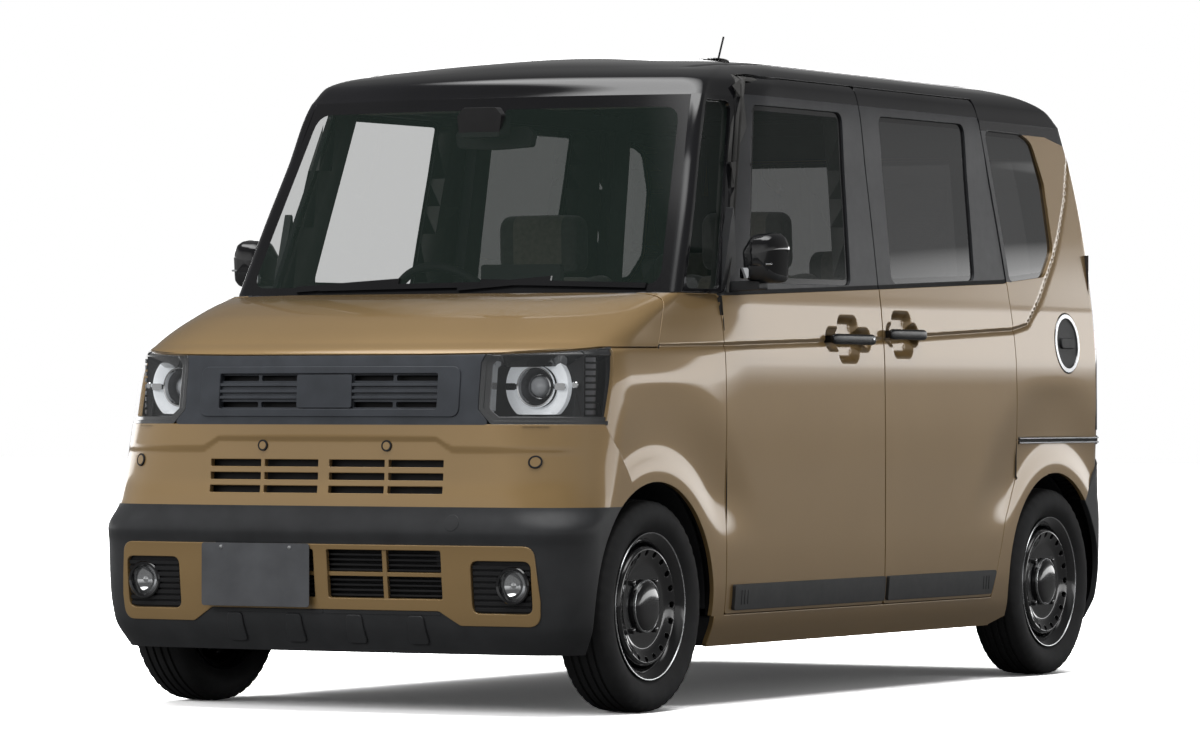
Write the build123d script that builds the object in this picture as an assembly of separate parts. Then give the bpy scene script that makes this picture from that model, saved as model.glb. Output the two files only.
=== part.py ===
from build123d import *
import math
import os

# A boxy four-door kei car at its real size, in millimetres. The front faces -Y, +X is
# the car's left side and +Z is up. The origin is on the ground under the middle of the
# car. The body is two stacks of plan outlines, one below the belt line and one above
# it. Each panel is a band of that body's wall, cut out by its own outline seen from the
# side, the front or above.

# Driving dimensions
overall_length = 3395.0
body_half_width = 737.5
roof_height = 1790.0
wheelbase = 2520.0
front_axle_y = -1210.0
rear_axle_y = front_axle_y + wheelbase
wheel_centre_x = 652.5
tyre_radius = 278.5
tyre_width = 155.0
rim_flange_radius = 194.7
rim_seat_radius = 177.4
rim_width = 130.0
seat_gap = 0.3  # between pieces that rest on each other
panel_gap = 5.0  # round each moving panel
door_gap = 7.0  # between the front door and the sliding door

door_wall = 60.0  # whole thickness of a door or body side
door_skin = 14.0  # the door's outer flange, in front of its narrower inner part
door_step = 16.0  # how far the inner part stops short of the flange
panel_wall = 24.0  # bonnet, bumpers and wings
roof_wall = 36.0
tailgate_wall = 50.0
pillar_wall = 42.0
glass_wall = 6.0
glass_depth = 9.0  # how far side panes lie behind the skin
post_depth = door_wall + 7.0  # outer face of the posts behind the doors
post_wall = 38.0
post_foot_z = 236.0
lamp_depth = 90.0

ground_clearance = 160.0
sill_z = 245.0  # lower edge of the doors
belt_z = 1100.0
roof_base_z = 1640.0
door_top_z = 1702.0
cladding_top_z = 540.0
bumper_top_z = 751.0
arch_radius = 325.0
door_front_y = -817.0
door_split_y = 150.0
slide_rear_y = 1034.0
bonnet_rear_y = -1094.0
bumper_rear_z = 648.0
gate_half = 606.0
gate_top_half = 563.0
gate_top_y = 1450.0

half_length = overall_length / 2
edge = panel_gap / 2

# Plan outlines below the belt line. front is the nose at the middle, bow is how far
# the front falls back at its corner, nose is the half width behind that corner, half
# is the half width from knee back, and sink is the share of the wall's thickness that
# the inner face lies lower instead of further in.
# z, front, bow, corner, nose, half, knee, rear, rear_corner, sink
lower_rows = [
    (ground_clearance, -1630, 24, 125, 694, 704, door_front_y, 1652, 70, 0),
    (235, -1664, 22, 128, 724, 728, door_front_y, 1684, 75, 0),
    (330, -1678, 22, 136, 734, 736, door_front_y, 1694, 80, 0),
    (440, -1690, 22, 150, 737, body_half_width, door_front_y, half_length, 84, 0),
    (475, -half_length, 22, 155, body_half_width, body_half_width, door_front_y, half_length, 85, 0),
    (cladding_top_z, -1681, 22, 205, 736.5, body_half_width, door_front_y, 1690, 88, 0),
    (700, -1672, 24, 262, 737, body_half_width, door_front_y, 1681, 82, 0),
    (860, -1667, 36, 282, 732, 736, door_front_y, 1679, 78, 0),
    (932, -1656, 38, 278, 721, 734.5, door_front_y, 1680, 76, 0),
    (965, -1606, 40, 270, 712, 732.5, door_front_y, 1681, 75, 0.4),
    (1002, -1532, 44, 262, 706, 729.5, door_front_y, 1682, 74, 0.8),
    (1043, -1432, 50, 255, 699, 726, door_front_y, 1683, 73, 1),
    (1078, -1290, 54, 200, 694, 723, door_front_y, 1683, 72, 1),
    (belt_z, -1120, 50, 80, 690, 720.3, door_front_y, 1683, 71, 1),
]

# Plan outlines above the belt line, up over the roof
upper_rows = [
    (belt_z, -1082, 72, 26, 690, 720.3, -775, 1683, 71, 0),
    (1300, -983, 72, 26, 666, 697, -702, 1668, 73, 0),
    (1460, -904, 72, 26, 642, 677, -633, 1640, 76, 0),
    (roof_base_z, -815, 72, 26, 618, 655, -555, 1576, 80, 0),
    (1690, -784, 72, 60, 600, 640, -520, 1512, 90, 0.6),
    (1725, -690, 96, 100, 550, 603, -440, 1420, 120, 0.9),
    (1750, -560, 110, 140, 470, 515, -330, 1310, 150, 1),
    (1775, -300, 110, 150, 290, 320, -120, 1090, 130, 1),
    (roof_height, 120, 30, 60, 110, 120, 220, 720, 60, 1),
]
roof_row = 3  # where the roof's own rows start in upper_rows
bonnet_row = 7  # and the bonnet's in lower_rows
slant = 1 - math.sqrt(0.5)


def corners(row, inset, sink_on=False):
    """Points of one plan outline on the car's left, moved in by inset."""
    z, front, bow, corner, nose, half, knee, rear, rear_corner, sink = row
    if not sink_on:
        sink = 0
    step = inset * (1 - 0.7 * sink)
    z -= inset * sink
    front += step
    rear -= step
    nose -= step
    half -= step
    corner = max(corner - step, 14)
    rear_corner = max(rear_corner - step, 12)
    flat = nose - corner
    bow_radius = (flat**2 + bow**2) / (2 * bow)
    quarter = front + bow_radius - math.sqrt(bow_radius**2 - flat**2 / 4)
    return {
        "middle": (0, front, z),
        "quarter": (flat / 2, quarter, z),
        "flat": (flat, front + bow, z),
        "bend": (nose - corner * slant, front + bow + corner * slant, z),
        "nose": (nose, front + bow + corner, z),
        "knee": (half, knee, z),
        "tail": (half, rear - rear_corner, z),
        "tail_bend": (half - rear_corner * slant, rear - rear_corner * slant, z),
        "tail_flat": (half - rear_corner, rear, z),
        "tail_middle": (0, rear, z),
    }


def zone_edges(p, zone, turned=False):
    """Edges of one zone's part of an outline, from the front to the rear."""
    if zone == "front":
        after = (p["knee"][0], p["knee"][1] + 200, p["knee"][2])
        edges = [
            ("arc", "middle", "quarter", "flat"),
            ("arc", "flat", "bend", "nose"),
            ("line", "nose", "knee"),
            ("line", "knee", after),
        ]
    elif zone == "side":
        edges = [("line", "nose", "knee"), ("line", "knee", "tail")]
    else:
        before = (p["tail"][0], 820, p["tail"][2])
        edges = [
            ("line", before, "tail"),
            ("arc", "tail", "tail_bend", "tail_flat"),
            ("line", "tail_flat", "tail_middle"),
        ]

    def at(key):
        return p[key] if isinstance(key, str) else key

    made = []
    for kind, *keys in edges:
        points = [at(key) for key in keys]
        if turned:
            points.reverse()
        made.append(ThreePointArc(*points) if kind == "arc" else Line(*points))
    return made[::-1] if turned else made


strips = {}


def strip(zone, outer, inner, upper=False):
    """The wall between two depths in one zone, on the car's left."""
    key = (zone, outer, inner, upper)
    if key not in strips:
        faces = []
        for row in upper_rows[:6] if upper else lower_rows:
            out_edges = zone_edges(corners(row, outer), zone)
            in_edges = zone_edges(corners(row, inner), zone, True)
            first = Line(out_edges[-1] @ 1, in_edges[0] @ 0)
            last = Line(in_edges[-1] @ 1, out_edges[0] @ 0)
            faces.append(make_face(Wire(out_edges + [first] + in_edges + [last])))
        strips[key] = loft(faces, ruled=True)
    return strips[key]


def band(prism, zone, outer=0.0, inner=door_wall, level="both"):
    """The part of a strip of wall that lies inside a prism."""
    made = None
    for upper in (False, True):
        if level == ("high" if not upper else "low"):
            continue
        piece = strip(zone, outer, inner, upper) & prism
        if not piece:
            continue
        made = piece if made is None else made + piece
    return made


def half_stack(rows, inset, sink_on=True):
    """A filled stack on the car's left."""
    faces = []
    for row in rows:
        p = corners(row, inset, sink_on)
        edges = zone_edges(p, "front")[:3] + zone_edges(p, "rear")[1:]
        edges.insert(3, Line(p["knee"], p["tail"]))
        edges.append(Line(p["tail_middle"], p["middle"]))
        faces.append(make_face(Wire(edges)))
    return loft(faces, ruled=True)


def side_prism(points, x_from=500.0, x_to=900.0, radius=0.0):
    """A prism along X from an outline in (y, z)."""
    face = make_face(Polyline([(x_from, y, z) for y, z in points], close=True))
    if radius:
        face = rounded(face, radius)
    return extrude(face, amount=x_to - x_from, dir=(1, 0, 0))


def front_prism(points, y_from=-1900.0, y_to=-1200.0, radius=0.0):
    """A prism along Y from an outline in (x, z)."""
    face = make_face(Polyline([(x, y_from, z) for x, z in points], close=True))
    if radius:
        face = rounded(face, radius)
    return extrude(face, amount=y_to - y_from, dir=(0, 1, 0))


def rounded(face, radius):
    wire = face.faces()[0].outer_wire()
    return make_face(wire.fillet_2d(radius, wire.vertices()))


def box(x0, x1, y0, y1, z0, z1):
    return Pos((x0 + x1) / 2, (y0 + y1) / 2, (z0 + z1) / 2) * Box(x1 - x0, y1 - y0, z1 - z0)


def across(shape):
    """The same shape on the other side of the car."""
    return mirror(shape, about=Plane.YZ)


def both(shape):
    """Both sides as one set of separate solids."""
    return Compound(list(shape.solids()) + list(across(shape).solids()))


def joined(shape):
    """Both sides, joined at the middle."""
    return shape + across(shape)


def largest(shape):
    return shape.solids().sort_by(SortBy.VOLUME)[-1]


def tube_x(radius, x0, x1, y, z):
    return Pos((x0 + x1) / 2, y, z) * Rot(0, 90, 0) * Cylinder(radius, abs(x1 - x0))


def tube_y(radius, y0, y1, x, z):
    return Pos(x, (y0 + y1) / 2, z) * Rot(90, 0, 0) * Cylinder(radius, abs(y1 - y0))


def rod(start, end, radius):
    reach = Vector(end) - Vector(start)
    base = Plane(origin=start, z_dir=reach)
    return base * Cylinder(radius, reach.length, align=(Align.CENTER, Align.CENTER, Align.MIN))


# Gooseneck hinge arms: curved arms round the hinge axis, each in a slot of what carries it.
# turn is the angle that the panel opens, from and to are the arm's ends with it shut.
# name: (x, y, z) of the arm's middle plane on the axis, inner radius, outer radius, from, to, width
hinge_arms = {
    "door_low": ((738, -817, 430), 80, 90, -66, 53, 12),
    "door_high": ((738, -817, 890), 80, 90, -66, 53, 12),
    "bonnet": ((500, -1096, 1097), 58, 68, 14, 112, 10),
    "tailgate": ((430, 1450, 1717), 58, 68, -58, 38, 10),
    "fuel_lid": ((738, 1325, 990), 24, 30, 14, 158, 6),
}
arm_frames = {
    "door_low": (Vector(-1, 0, 0), Vector(0, 1, 0)),
    "door_high": (Vector(-1, 0, 0), Vector(0, 1, 0)),
    "bonnet": (Vector(0, -1, 0), Vector(0, 0, -1)),
    "tailgate": (Vector(0, 0, -1), Vector(0, 1, 0)),
    "fuel_lid": (Vector(0, 1, 0), Vector(-1, 0, 0)),
}


def hinge_arm(name):
    centre, inner, outer, start, end, width = hinge_arms[name]
    u, v = arm_frames[name]
    normal = u.cross(v)
    base = Vector(*centre) - normal * (width / 2)

    def at(radius, angle):
        turn = math.radians(angle)
        return base + u * (radius * math.cos(turn)) + v * (radius * math.sin(turn))

    middle = (start + end) / 2
    edges = [
        ThreePointArc(at(outer, start), at(outer, middle), at(outer, end)),
        Line(at(outer, end), at(inner, end)),
        ThreePointArc(at(inner, end), at(inner, middle), at(inner, start)),
        Line(at(inner, start), at(outer, start)),
    ]
    return extrude(make_face(Wire(edges)), amount=width, dir=normal)


def hinge_slot(name):
    """The ring that the arm sweeps, with its running gap."""
    centre, inner, outer, start, end, width = hinge_arms[name]
    u, v = arm_frames[name]
    ring = Cylinder(outer + seat_gap, width + 2 * seat_gap) - Cylinder(inner - seat_gap, width + 9)
    return Plane(origin=centre, z_dir=u.cross(v)) * ring


# Outlines seen from the side, as (y, z)
door_front_line = [
    (door_front_y, sill_z),
    (door_front_y, 1094),
    (-772, 1103),
    (-562, roof_base_z),
    (-524, door_top_z),
]
slide_rear_line = [
    (935, door_top_z),
    (1015, 1160),
    (slide_rear_y, 1000),
    (1043, 704),
    (1040, 590),
    (956, 468),
    (872, sill_z),
]
bonnet_line = [(-1900, 931), (-1640, 935), (-1428, 955), (-1168, 957), (-1090, 1076), (bonnet_rear_y + 2, 1120)]
bumper_line = [(-1463, bumper_top_z), (-1442, 713), (-1355, 614), (-1300, 520)]
rear_line = [(1500, 470), (1530, 517), (1600, 600), (1655, 640), (1800, bumper_rear_z)]
lamp_line = [(-1456, 740), (-1400, 960)]
front_window = [(-648, 1132), (-500, 1622), (34, 1624), (-22, 1136)]
slide_window = [(240, 1145), (266, 1624), (838, 1626), (800, 1166)]
quarter_window = [(1038, 1166), (974, 1614), (1236, 1612), (1302, 1590), (1362, 1470), (1374, 1265), (1290, 1186)]
corner_window = [(-966, 1112), (-718, 1628), (-598, 1628), (-802, 1112)]
window_corner = 26.0


def shifted(points, dy, dz=0.0):
    return [(y + dy, z + dz) for y, z in points]


def arch(axle_y, front_skirt, rear_skirt):
    """The opening over a wheel: a circle, and a skirt below it."""
    round_part = tube_x(arch_radius, 300, 900, axle_y, tyre_radius)
    skirt = side_prism(
        [
            (axle_y - arch_radius, tyre_radius),
            (axle_y - arch_radius - front_skirt, 100),
            (axle_y + arch_radius + rear_skirt, 100),
            (axle_y + arch_radius, tyre_radius),
        ],
        300,
        900,
    )
    return round_part + skirt


front_arch = arch(front_axle_y, 60, 0)
rear_arch = arch(rear_axle_y, 0, 30)


# Four-lobed bowls behind the handles: the handle's ends in y, its height, and the bowl's half length
handle_rows = {"front": (-207.0, 59.0, 986.0, 144.0), "slide": (157.0, 389.0, 1003.0, 108.0)}
bowl_floor_x = 715.0
bowl_bar_half = 34.0
bowl_lobe_half = (66.0, 67.0)  # along and up
bowl_corner = 30.0


def handle_bowl(name):
    y0, y1, z, reach = handle_rows[name]
    y = (y0 + y1) / 2
    along, up = bowl_lobe_half
    bar = box(bowl_floor_x, 760, y - reach, y + reach, z - bowl_bar_half, z + bowl_bar_half)
    lobes = box(bowl_floor_x, 760, y - along, y + along, z - up, z + up)
    bar = fillet(bar.edges().filter_by(Axis.X), bowl_corner)
    return bar + fillet(lobes.edges().filter_by(Axis.X), bowl_corner)


def layered_door(points, inner_points, window, moulding):
    """An outer flange, a narrower inner part, the window and the foot moulding."""
    door = band(side_prism(points), "side", 0, door_skin)
    door += band(side_prism(inner_points), "side", door_skin - 1, door_wall)
    door += band(side_prism(moulding), "side", -11, 4, "low")
    door -= side_prism(window, radius=window_corner)
    return largest(door)


def front_door():
    rear = door_split_y - door_gap / 2
    points = shifted(door_front_line, edge, edge)
    points[-1] = (points[-1][0], door_top_z - edge)
    points += [(rear, door_top_z - edge), (rear, sill_z + edge)]
    inner = [
        (door_front_y + door_step, sill_z + edge),
        (door_front_y + door_step, 1094),
        (-772 + door_step, 1103),
        (-562 + door_step, roof_base_z),
        (-530 + door_step, door_top_z - door_step),
        (rear - door_step, door_top_z - door_step),
        (rear - door_step, sill_z + edge),
    ]
    moulding = [(-778, 256), (-778, 322), (138, 322), (138, 256)]
    door = layered_door(points, inner, front_window, moulding) - handle_bowl("front")
    return door + hinge_arm("door_low") + hinge_arm("door_high")


def sliding_door():
    front = door_split_y + door_gap / 2
    points = [(front, sill_z + edge), (front, door_top_z - edge)]
    rear = shifted(slide_rear_line, -edge)
    rear[0] = (rear[0][0], door_top_z - edge)
    rear[-1] = (rear[-1][0] + 1, sill_z + edge)
    inner = [(front + door_step, sill_z + edge), (front + door_step, door_top_z - door_step)]
    inner += [(921, door_top_z - door_step)] + shifted(slide_rear_line[1:-1], -door_step) + [(858, sill_z + edge)]
    moulding = [(162, 256), (162, 322), (880, 322), (852, 256)]
    door = layered_door(points + rear, inner, slide_window, moulding) - handle_bowl("slide")
    for y in (210, 770):
        door += box(680, 716, y, y + 50, sill_z - edge + seat_gap, 270)  # roller feet on the sill
    return door


def pane(window, zone="side"):
    """A pane that fills a window, a little way behind the skin."""
    face = make_face(Polyline([(500, y, z) for y, z in window], close=True))
    face = rounded(face, window_corner)
    face = offset(face, -seat_gap)
    prism = extrude(face, amount=400, dir=(1, 0, 0))
    return band(prism, zone, glass_depth, glass_depth + glass_wall, "high")


windscreen_half = (664.0, 590.0)  # at the belt line and at the roof


def windscreen_prism(gap):
    bottom, top = windscreen_half
    points = [(-1, belt_z + gap), (bottom - gap, belt_z + gap), (top - gap, roof_base_z - gap), (-1, roof_base_z - gap)]
    return front_prism(points, -1300, -500)


def windscreen():
    return largest(joined(band(windscreen_prism(seat_gap), "front", 0, glass_wall, "high")))


def door_opening():
    """What the two doors and their gaps take out of the roof and front pillars."""
    points = shifted(door_front_line, -edge, edge)
    points += [(935 + edge, door_top_z + edge), (1015 + edge, 1160), (1015, 200)]
    return side_prism(points, 500, 900)


def gate_prism(gap):
    points = [
        (-1, bumper_rear_z + 5 - gap),
        (gate_half + gap, bumper_rear_z + 5 - gap),
        (gate_half + gap, 1262),
        (gate_top_half + gap, roof_base_z),
        (gate_top_half + gap, 1800),
        (-1, 1800),
    ]
    return front_prism(points, gate_top_y - gap, 1800)


def roof_panel():
    """Roof skin with the front pillars and the frames of the corner windows."""
    skin = half_stack(upper_rows[roof_row:], 0) - half_stack(upper_rows[roof_row:], roof_wall)
    frame = side_prism([(-1200, belt_z + seat_gap), (-700, belt_z + seat_gap), (-500, roof_base_z), (-1200, roof_base_z)])
    pillar = band(frame, "front", 0, pillar_wall, "high") - windscreen_prism(0)
    pillar -= side_prism(corner_window, radius=window_corner)
    half = skin + pillar - door_opening() - gate_prism(panel_gap)
    x, y, z = hinge_arms["tailgate"][0]
    bracket = box(x - 12, x + 12, 1405, 1474, 1642, 1662) + box(x - 12, x + 12, 1405, 1440, 1642, 1704)
    half += bracket - hinge_slot("tailgate")
    return largest(joined(half))


def bonnet():
    """Clamshell bonnet, whose rear corners run down to the wings."""
    prism = side_prism(bonnet_line + [(-1900, 1120)], -1, 900)
    skin = half_stack(lower_rows[bonnet_row:], 0) - half_stack(lower_rows[bonnet_row:], panel_wall)
    return largest(joined((skin & prism) + hinge_arm("bonnet")))


def below_bonnet(points_rear_z):
    """Everything under the bonnet's lower line, less the gap."""
    line = shifted(bonnet_line[:-1], 0, -panel_gap)
    line[4] = (-1084, 1080)
    return side_prism(line + [(-1078, points_rear_z), (-300, points_rear_z), (-300, 100), (-1900, 100)], -1, 900)


def fender():
    lamp = shifted(lamp_line, seat_gap)
    joint_line = shifted(bumper_line, seat_gap)
    joint_line[0] = (bumper_line[0][0], bumper_top_z + seat_gap)
    outline = [(-1900, bumper_top_z + seat_gap)] + joint_line
    outline += [
        (-1100, sill_z - edge + seat_gap),
        (door_front_y - edge, sill_z - edge + seat_gap),
        (door_front_y - edge, belt_z),
        (-1900, belt_z),
    ]
    wing = band(side_prism(outline), "front", 0, panel_wall, "low") & below_bonnet(belt_z)
    wing -= side_prism([(-1900, 700), lamp[0], lamp[1], (-1900, 960)])
    return largest(wing - front_arch)


lamp_inner_x = 446.0


def headlamp():
    outline = [
        (lamp_inner_x, 790),
        (lamp_inner_x + 38, bumper_top_z + seat_gap),
        (900, bumper_top_z + seat_gap),
        (900, 960),
        (lamp_inner_x + 22, 960),
        (lamp_inner_x, 912),
    ]
    prism = front_prism(outline, -1900, -1300) & side_prism([(-1900, 700), lamp_line[0], lamp_line[1], (-1900, 960)], 400)
    lamp = band(prism, "front", 0, lamp_depth, "low") & below_bonnet(belt_z)
    return largest(lamp)


grille_panel = (391.0, 774.0, 900.0)  # half width, z from and to of the raised panel
grille_bay = (333.0, 790.0, 886.0)  # the sunk bay inside it
grille_slots = (803.0, 872.0)  # heights of the two rows of slots
grille_slot_half = 8.0
grille_slot_x = (84.0, 201.0, 209.0, 331.0)
grille_bars = (822.0, 838.0, 855.0)
grille_bar_half = 3.0


def front_plate_prism(half, z0, z1, radius=0.0):
    return front_prism([(-half, z0), (half, z0), (half, z1), (-half, z1)], radius=radius)


def grille():
    """Grille: a raised panel with a sunk bay, three bars, a bare middle block and two rows of slots."""
    outline = [(-1, bumper_top_z + seat_gap), (lamp_inner_x + 37, bumper_top_z + seat_gap)]
    outline += [(lamp_inner_x - seat_gap, 790), (lamp_inner_x - seat_gap, 912), (lamp_inner_x + 18, 960), (-1, 960)]
    face = band(front_prism(outline), "front", 0, panel_wall, "low") & below_bonnet(belt_z)
    face += band(front_plate_prism(*grille_panel, 22), "front", -4, 2, "low")
    face -= band(front_plate_prism(*grille_bay, 6), "front", -5, 7, "low")
    x0, x1, x2, x3 = grille_slot_x
    ribs = front_plate_prism(x0 - 1, grille_bay[1] - 1, grille_bay[2] + 1)
    for z in grille_bars:
        ribs += front_plate_prism(grille_bay[0] + 1, z - grille_bar_half, z + grille_bar_half)
    face += band(ribs, "front", 2, 9, "low")
    for z in grille_slots:
        for start, end in ((x0, x1), (x2, x3)):
            face -= box(start, end, -1800, -1500, z - grille_slot_half, z + grille_slot_half)
    return largest(joined(face))


bumper_slots = [(572, 594), (606, 628), (640, 662)]  # z from and to


def front_bumper():
    """Upper bumper with three rows of slots each side of its middle bar."""
    outline = [(-1900, cladding_top_z + seat_gap), (-1900, bumper_top_z)] + bumper_line
    outline += [(-1300, 300), (-1530, 300), (-1530, cladding_top_z + seat_gap)]
    wall = band(side_prism(outline, -1), "front", 0, panel_wall, "low")
    for low, high in bumper_slots:
        wall -= box(15, 355, -1800, -1500, low, high)
    wall -= front_arch
    wall &= box(-1, 900, -1900, -1200, cladding_top_z + seat_gap, 800)
    return largest(joined(wall))


insert_outline = [(-1, 272), (345, 272), (405, 235), (628, 235), (632, 300), (620, 441), (-1, 441)]
intake = (18.0, 360.0, 300.0, 430.0)
fog_place = (559.0, 341.0)
fog_radius = 35.0
plate_middle_x = -193.0
plate_hole_radius = 3.5
plate_hole_pitch = 210.0
front_plate_face = -1694.0  # y of the pad's outer face
front_plate_z = 432.0
rear_plate_face = 1684.0
rear_plate_z = 886.0


def plate_pad(x, y0, y1, z):
    return box(x - 127, x + 127, y0, y1, z - 12, z + 14)


def plate_holes(x, y0, y1, z):
    half = plate_hole_pitch / 2
    return tube_y(plate_hole_radius, y0, y1, x - half, z) + tube_y(plate_hole_radius, y0, y1, x + half, z)


skid_ribs = (92.0, 275.0)  # middles of the ribs under the intake


def front_cladding():
    wall = band(box(-1, 900, -1900, -1300, 162, cladding_top_z), "front", 0, panel_wall, "low")
    wall -= strip("front", -12, 10 + seat_gap) & front_prism(insert_outline)
    wall -= front_arch
    x0, x1, z0, z1 = intake
    wall -= box(x0, x1, -1800, -1500, z0, z1)
    wall -= tube_y(fog_radius + 3, -1800, -1400, *fog_place)
    ribs = None
    for x in skid_ribs:
        rib = front_prism([(x - 26, 188), (x + 26, 188), (x + 20, 256), (x - 20, 256)])
        ribs = rib if ribs is None else ribs + rib
    wall += band(ribs, "front", -6, 4, "low")
    face = front_plate_face
    whole = joined(wall) + plate_pad(plate_middle_x, face, face + 22, front_plate_z)
    whole -= plate_holes(plate_middle_x, face - 5, face + 30, front_plate_z)
    return largest(whole)


def bumper_insert():
    """Painted frame let into the cladding round the intake and the fog lamps."""
    inner = [(-1, 272 + seat_gap), (345, 272 + seat_gap), (405, 235 + seat_gap), (628 - seat_gap, 235 + seat_gap)]
    inner += [(632 - seat_gap, 300), (620 - seat_gap, 441 - seat_gap), (-1, 441 - seat_gap)]
    frame = band(front_prism(inner), "front", -4, 10, "low")
    x0, x1, z0, z1 = intake
    frame -= box(x0, x1, -1800, -1500, z0, z1)
    frame -= box(447, 606, -1800, -1500, 268, 402)
    room = box(plate_middle_x - 129, plate_middle_x + 129, -1750, -1600, front_plate_z - 14, 460)
    return largest(joined(frame) - room)


def fog_lamps():
    lamp = band(front_prism([(450, 272), (603, 272), (603, 398), (450, 398)]), "front", 4, 10, "low")
    x, z = fog_place
    lamp += tube_y(fog_radius, -1672, -1600, x, z)
    return both(largest(lamp))


sill_front_y = -870 + seat_gap


def body_side():
    """Left body side: sill, posts, roof rail and quarter panel in one pressing."""
    sill = band(side_prism([(sill_front_y, 161), (sill_front_y, sill_z - edge), (905, sill_z - edge), (905, 161)]), "side", 0, 160, "low")
    sill &= box(620, 900, -900, 910, 100, 400)
    rear = shifted(slide_rear_line[1:], edge)
    outline = rear[::-1] + [(944 + edge, roof_base_z - seat_gap), (1800, roof_base_z - seat_gap)]
    line = shifted(rear_line, 0, seat_gap)[::-1]
    outline += line + [(1500, 300), (905, 161), (860, 161)]
    quarter = band(side_prism(outline, 400), "rear", 0, door_wall)
    quarter -= side_prism(quarter_window, radius=window_corner)
    quarter -= gate_prism(panel_gap)
    quarter -= box(500, 900, lamp_front_y - seat_gap, 1900, lamp_low_z - seat_gap, lamp_high_z + seat_gap)
    posts = [
        [(-864, post_foot_z), (-784, post_foot_z), (-784, 1090), (-864, 1090)],
        [(105, post_foot_z), (195, post_foot_z), (195, 1690), (105, 1690)],
        [(975, 430), (1085, 640), (1085, 1100), (1030, 1690), (930, 1690), (975, 1100)],
    ]
    depth = post_depth
    frame = band(side_prism([(-560, 1632), (1030, 1632), (1030, 1676), (-560, 1676)]), "side", depth, depth + post_wall, "high")
    for k, points in enumerate(posts):
        outer = door_wall - 4 if k == 2 else depth
        frame += band(side_prism(points), "side", outer, depth + post_wall)
    frame -= door_clear()
    frame -= tube_x(well_radius + well_wall + seat_gap, 500, 690, rear_axle_y, tyre_radius)
    side = sill + quarter + frame
    side -= rear_arch
    side -= tube_x(lid_radius + panel_gap, 690, 900, *lid_place)
    side += box(685, 718, 1326, 1344, 978, 1002)
    for name in ("door_low", "door_high", "fuel_lid"):
        side -= hinge_slot(name)
    side -= box(722, 900, 1058, 1640, 690, 710)
    return largest(side)


def door_clear():
    """Room inside the sliding door's rear edge, so that the post clears it."""
    points = [(300, 200), (300, 1702)] + shifted(slide_rear_line, edge)
    low = strip("side", -5, post_depth) & side_prism(points)
    return low + (strip("side", -5, post_depth, True) & side_prism(points))


lamp_front_y = 1612.0
lamp_low_z = 731.0
lamp_high_z = 1262.0
lid_radius = 87.0
lid_place = (1410.0, 990.0)


def tail_lamps():
    lamp = band(box(gate_half + panel_gap, 900, lamp_front_y, 1900, lamp_low_z, lamp_high_z), "rear", 0, door_wall)
    return both(lamp)


def fuel_lid():
    disc = tube_x(lid_radius, 600, 900, *lid_place)
    return largest(band(disc, "rear", 0, 10, "low") + hinge_arm("fuel_lid"))


def rear_bumper():
    outline = [(1440, 162)] + rear_line + [(1800, 162)]
    wall = band(side_prism(outline, -1), "rear", 0, panel_wall, "low") - rear_arch
    return largest(joined(wall))


gate_window = [(-1, 1110), (520, 1110), (470, 1560), (-1, 1560)]


def tailgate():
    """Rear door, hinged under the roof's rear edge."""
    shell = half_stack(upper_rows[roof_row:], 0) - half_stack(upper_rows[roof_row:], roof_wall)
    door = band(gate_prism(0), "rear", 0, tailgate_wall) & box(-1, 900, 1400, 1900, 600, roof_base_z)
    door += shell & gate_prism(0)
    door += hinge_arm("tailgate")
    door -= front_prism(gate_window, 1400, 1900)
    face = rear_plate_face
    whole = joined(door) + plate_pad(0, face - 24, face, rear_plate_z)
    whole -= plate_holes(0, face - 24, face + 5, rear_plate_z)
    return largest(whole)


def tailgate_glass():
    inner = [(-1, 1110 + seat_gap), (520 - 0.35, 1110 + seat_gap), (470 - 0.35, 1560 - seat_gap), (-1, 1560 - seat_gap)]
    return largest(joined(band(front_prism(inner, 1400, 1900), "rear", 4, 4 + glass_wall, "high")))


handle_x = (740.0, 758.0)
handle_half = 15.0


def handle(name):
    """A bar handle that stands in its bowl on two feet."""
    y0, y1, z, _ = handle_rows[name]
    x0, x1 = handle_x
    bar = box(x0, x1, y0, y1, z - handle_half, z + handle_half)
    bar = fillet(bar.edges().filter_by(Axis.Y), 7)
    for start in (y0 + 10, y1 - 42):
        bar += box(bowl_floor_x + seat_gap, x0 + 4, start, start + 32, z - handle_half + 4, z + handle_half - 4)
    return bar


def door_mirror():
    """Left mirror: shell, its neck and the foot on the door's shoulder."""
    face = make_face(
        Polyline([(752, -684, 1130), (744, -684, 1216), (772, -684, 1262), (842, -684, 1268), (860, -684, 1226), (854, -684, 1128)], close=True)
    )
    shell = extrude(rounded(face, 16), amount=96, dir=(0, -1, 0))
    shell = fillet(shell.faces().sort_by(Axis.Y)[0].edges(), 14)
    foot = box(700, 800, -752, -700, 1106, 1134) - strip("side", -seat_gap, door_wall, True)
    return shell + largest(foot)


# Wheels, turned about X with the outer face at +X
vent_count = 20
vent_radius = 9.5
vent_circle = 141.0
cap_radius = 112.0
spindle_radius = 26.0
hub_radius = 46.0
disc_face = rim_width / 2 - 26  # inner face of the wheel's disc from its middle


def turned(points):
    return revolve(make_face(Polyline([(x, 0, r) for x, r in points], close=True)), Axis.X)


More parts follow.
